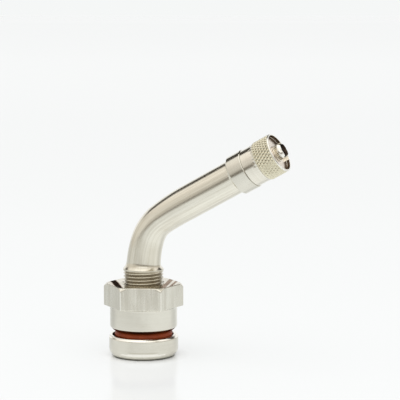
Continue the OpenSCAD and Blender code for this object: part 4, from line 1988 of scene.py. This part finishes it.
    def _floor(self) -> None:
        """Lays a wide pale floor that keeps the part's shadow, and has a painted shadow under the foot.

        To the metal it is a sheet that ends on a dark table some way towards the camera, and is a little
        dimmer to the left and obliquely behind the part.
        """
        half = self.floor_half
        mesh = bpy.data.meshes.new("floor")
        corners = [(-half, -half, 0.0), (half, -half, 0.0), (half, half, 0.0), (-half, half, 0.0)]
        mesh.from_pydata(corners, [], [(0, 1, 2, 3)])
        floor = place_object("floor", mesh)
        material, graph = start_material("floor")
        right, away = self._level()
        place = graph.add("ShaderNodeTexCoord").outputs["Object"]
        far = graph.add("ShaderNodeVectorMath", {0: place}, operation="LENGTH").outputs["Value"]
        mirrored = graph.add("ShaderNodeLightPath").outputs["Is Glossy Ray"]
        depth, distance = graph.dot(place, away), graph.math("MAXIMUM", far, 1e-4)
        bearing = graph.math("DIVIDE", depth, distance)
        across = graph.math("DIVIDE", graph.dot(place, right), distance)
        aside = graph.math(
            "MAXIMUM",
            graph.spread(bearing, *self.aside_in, 1.0, self.aside_dim),
            graph.spread(bearing, *self.aside_out, self.aside_dim, 1.0),
        )
        shade = graph.times(aside, graph.spread(across, -0.6, 0.6, *self.across_dim))
        dim = graph.add("ShaderNodeVectorMath", {0: self.white, 3: shade}, operation="SCALE").outputs[0]
        beyond = graph.fall(depth, (-self.sheet - self.sheet_fade, -self.sheet + self.sheet_fade))
        sheet = graph.blend(mirrored, self.white, dim)
        sheet = graph.blend(graph.times(mirrored, beyond), sheet, self.table)
        card = graph.add(
            # The sheet's colour darkens to a painted shadow under the foot.
            "ShaderNodeBsdfPrincipled",
            {
                "Base Color": graph.blend(graph.fall(far, self.foot_edge), self.paper, self.foot_shade),
                "Roughness": 0.14,
                "Specular IOR Level": 0.5,
            },
        )
        glow = graph.add("ShaderNodeEmission", {"Color": sheet, "Strength": 1.0})
        clear = graph.times(mirrored, graph.spread(far, *self.mirrored_edge, 0.0, self.mirrored_glow))
        clear = graph.math("ADD", clear, graph.spread(far, *self.glow_edge, 0.0, self.glow))
        mixed = graph.add("ShaderNodeMixShader", {0: clear, 1: card.outputs[0], 2: glow.outputs[0]})
        graph.add("ShaderNodeOutputMaterial", {0: mixed.outputs[0]})
        mesh.materials.append(material)

    def _light(self, name: str, place: tuple[float, float, float], size: float, watts: float) -> None:
        """Adds a square soft light that faces the part and that the metal doesn't mirror.

        Args:
            name: Name of the light.
            place: Its centre, in metres.
            size: Length of its side, in metres.
            watts: Its power.
        """
        data = bpy.data.lights.new(name, "AREA")
        data.shape, data.size, data.energy = "SQUARE", size, watts
        light = place_object(name, data)
        light.visible_glossy = False
        light.location = place
        light.rotation_euler = (Vector(self.aim) - Vector(place)).to_track_quat("-Z", "Y").to_euler()


def main() -> None:
    """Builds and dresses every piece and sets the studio."""
    logging.basicConfig(level=logging.INFO, format="%(message)s")
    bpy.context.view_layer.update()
    bpy.context.scene.view_settings.view_transform = "Standard"
    paints, path = Paints(), StemPath()
    for maker in (Stem(path), Nut(), SealRing(), Core(path), Cap(path)):
        piece = maker.build(paints)
        LOG.info("%s: %s, %d faces", type(maker).__name__, piece.name, len(piece.data.polygons))
    Studio().build()


if __name__ == "__main__":
    main()
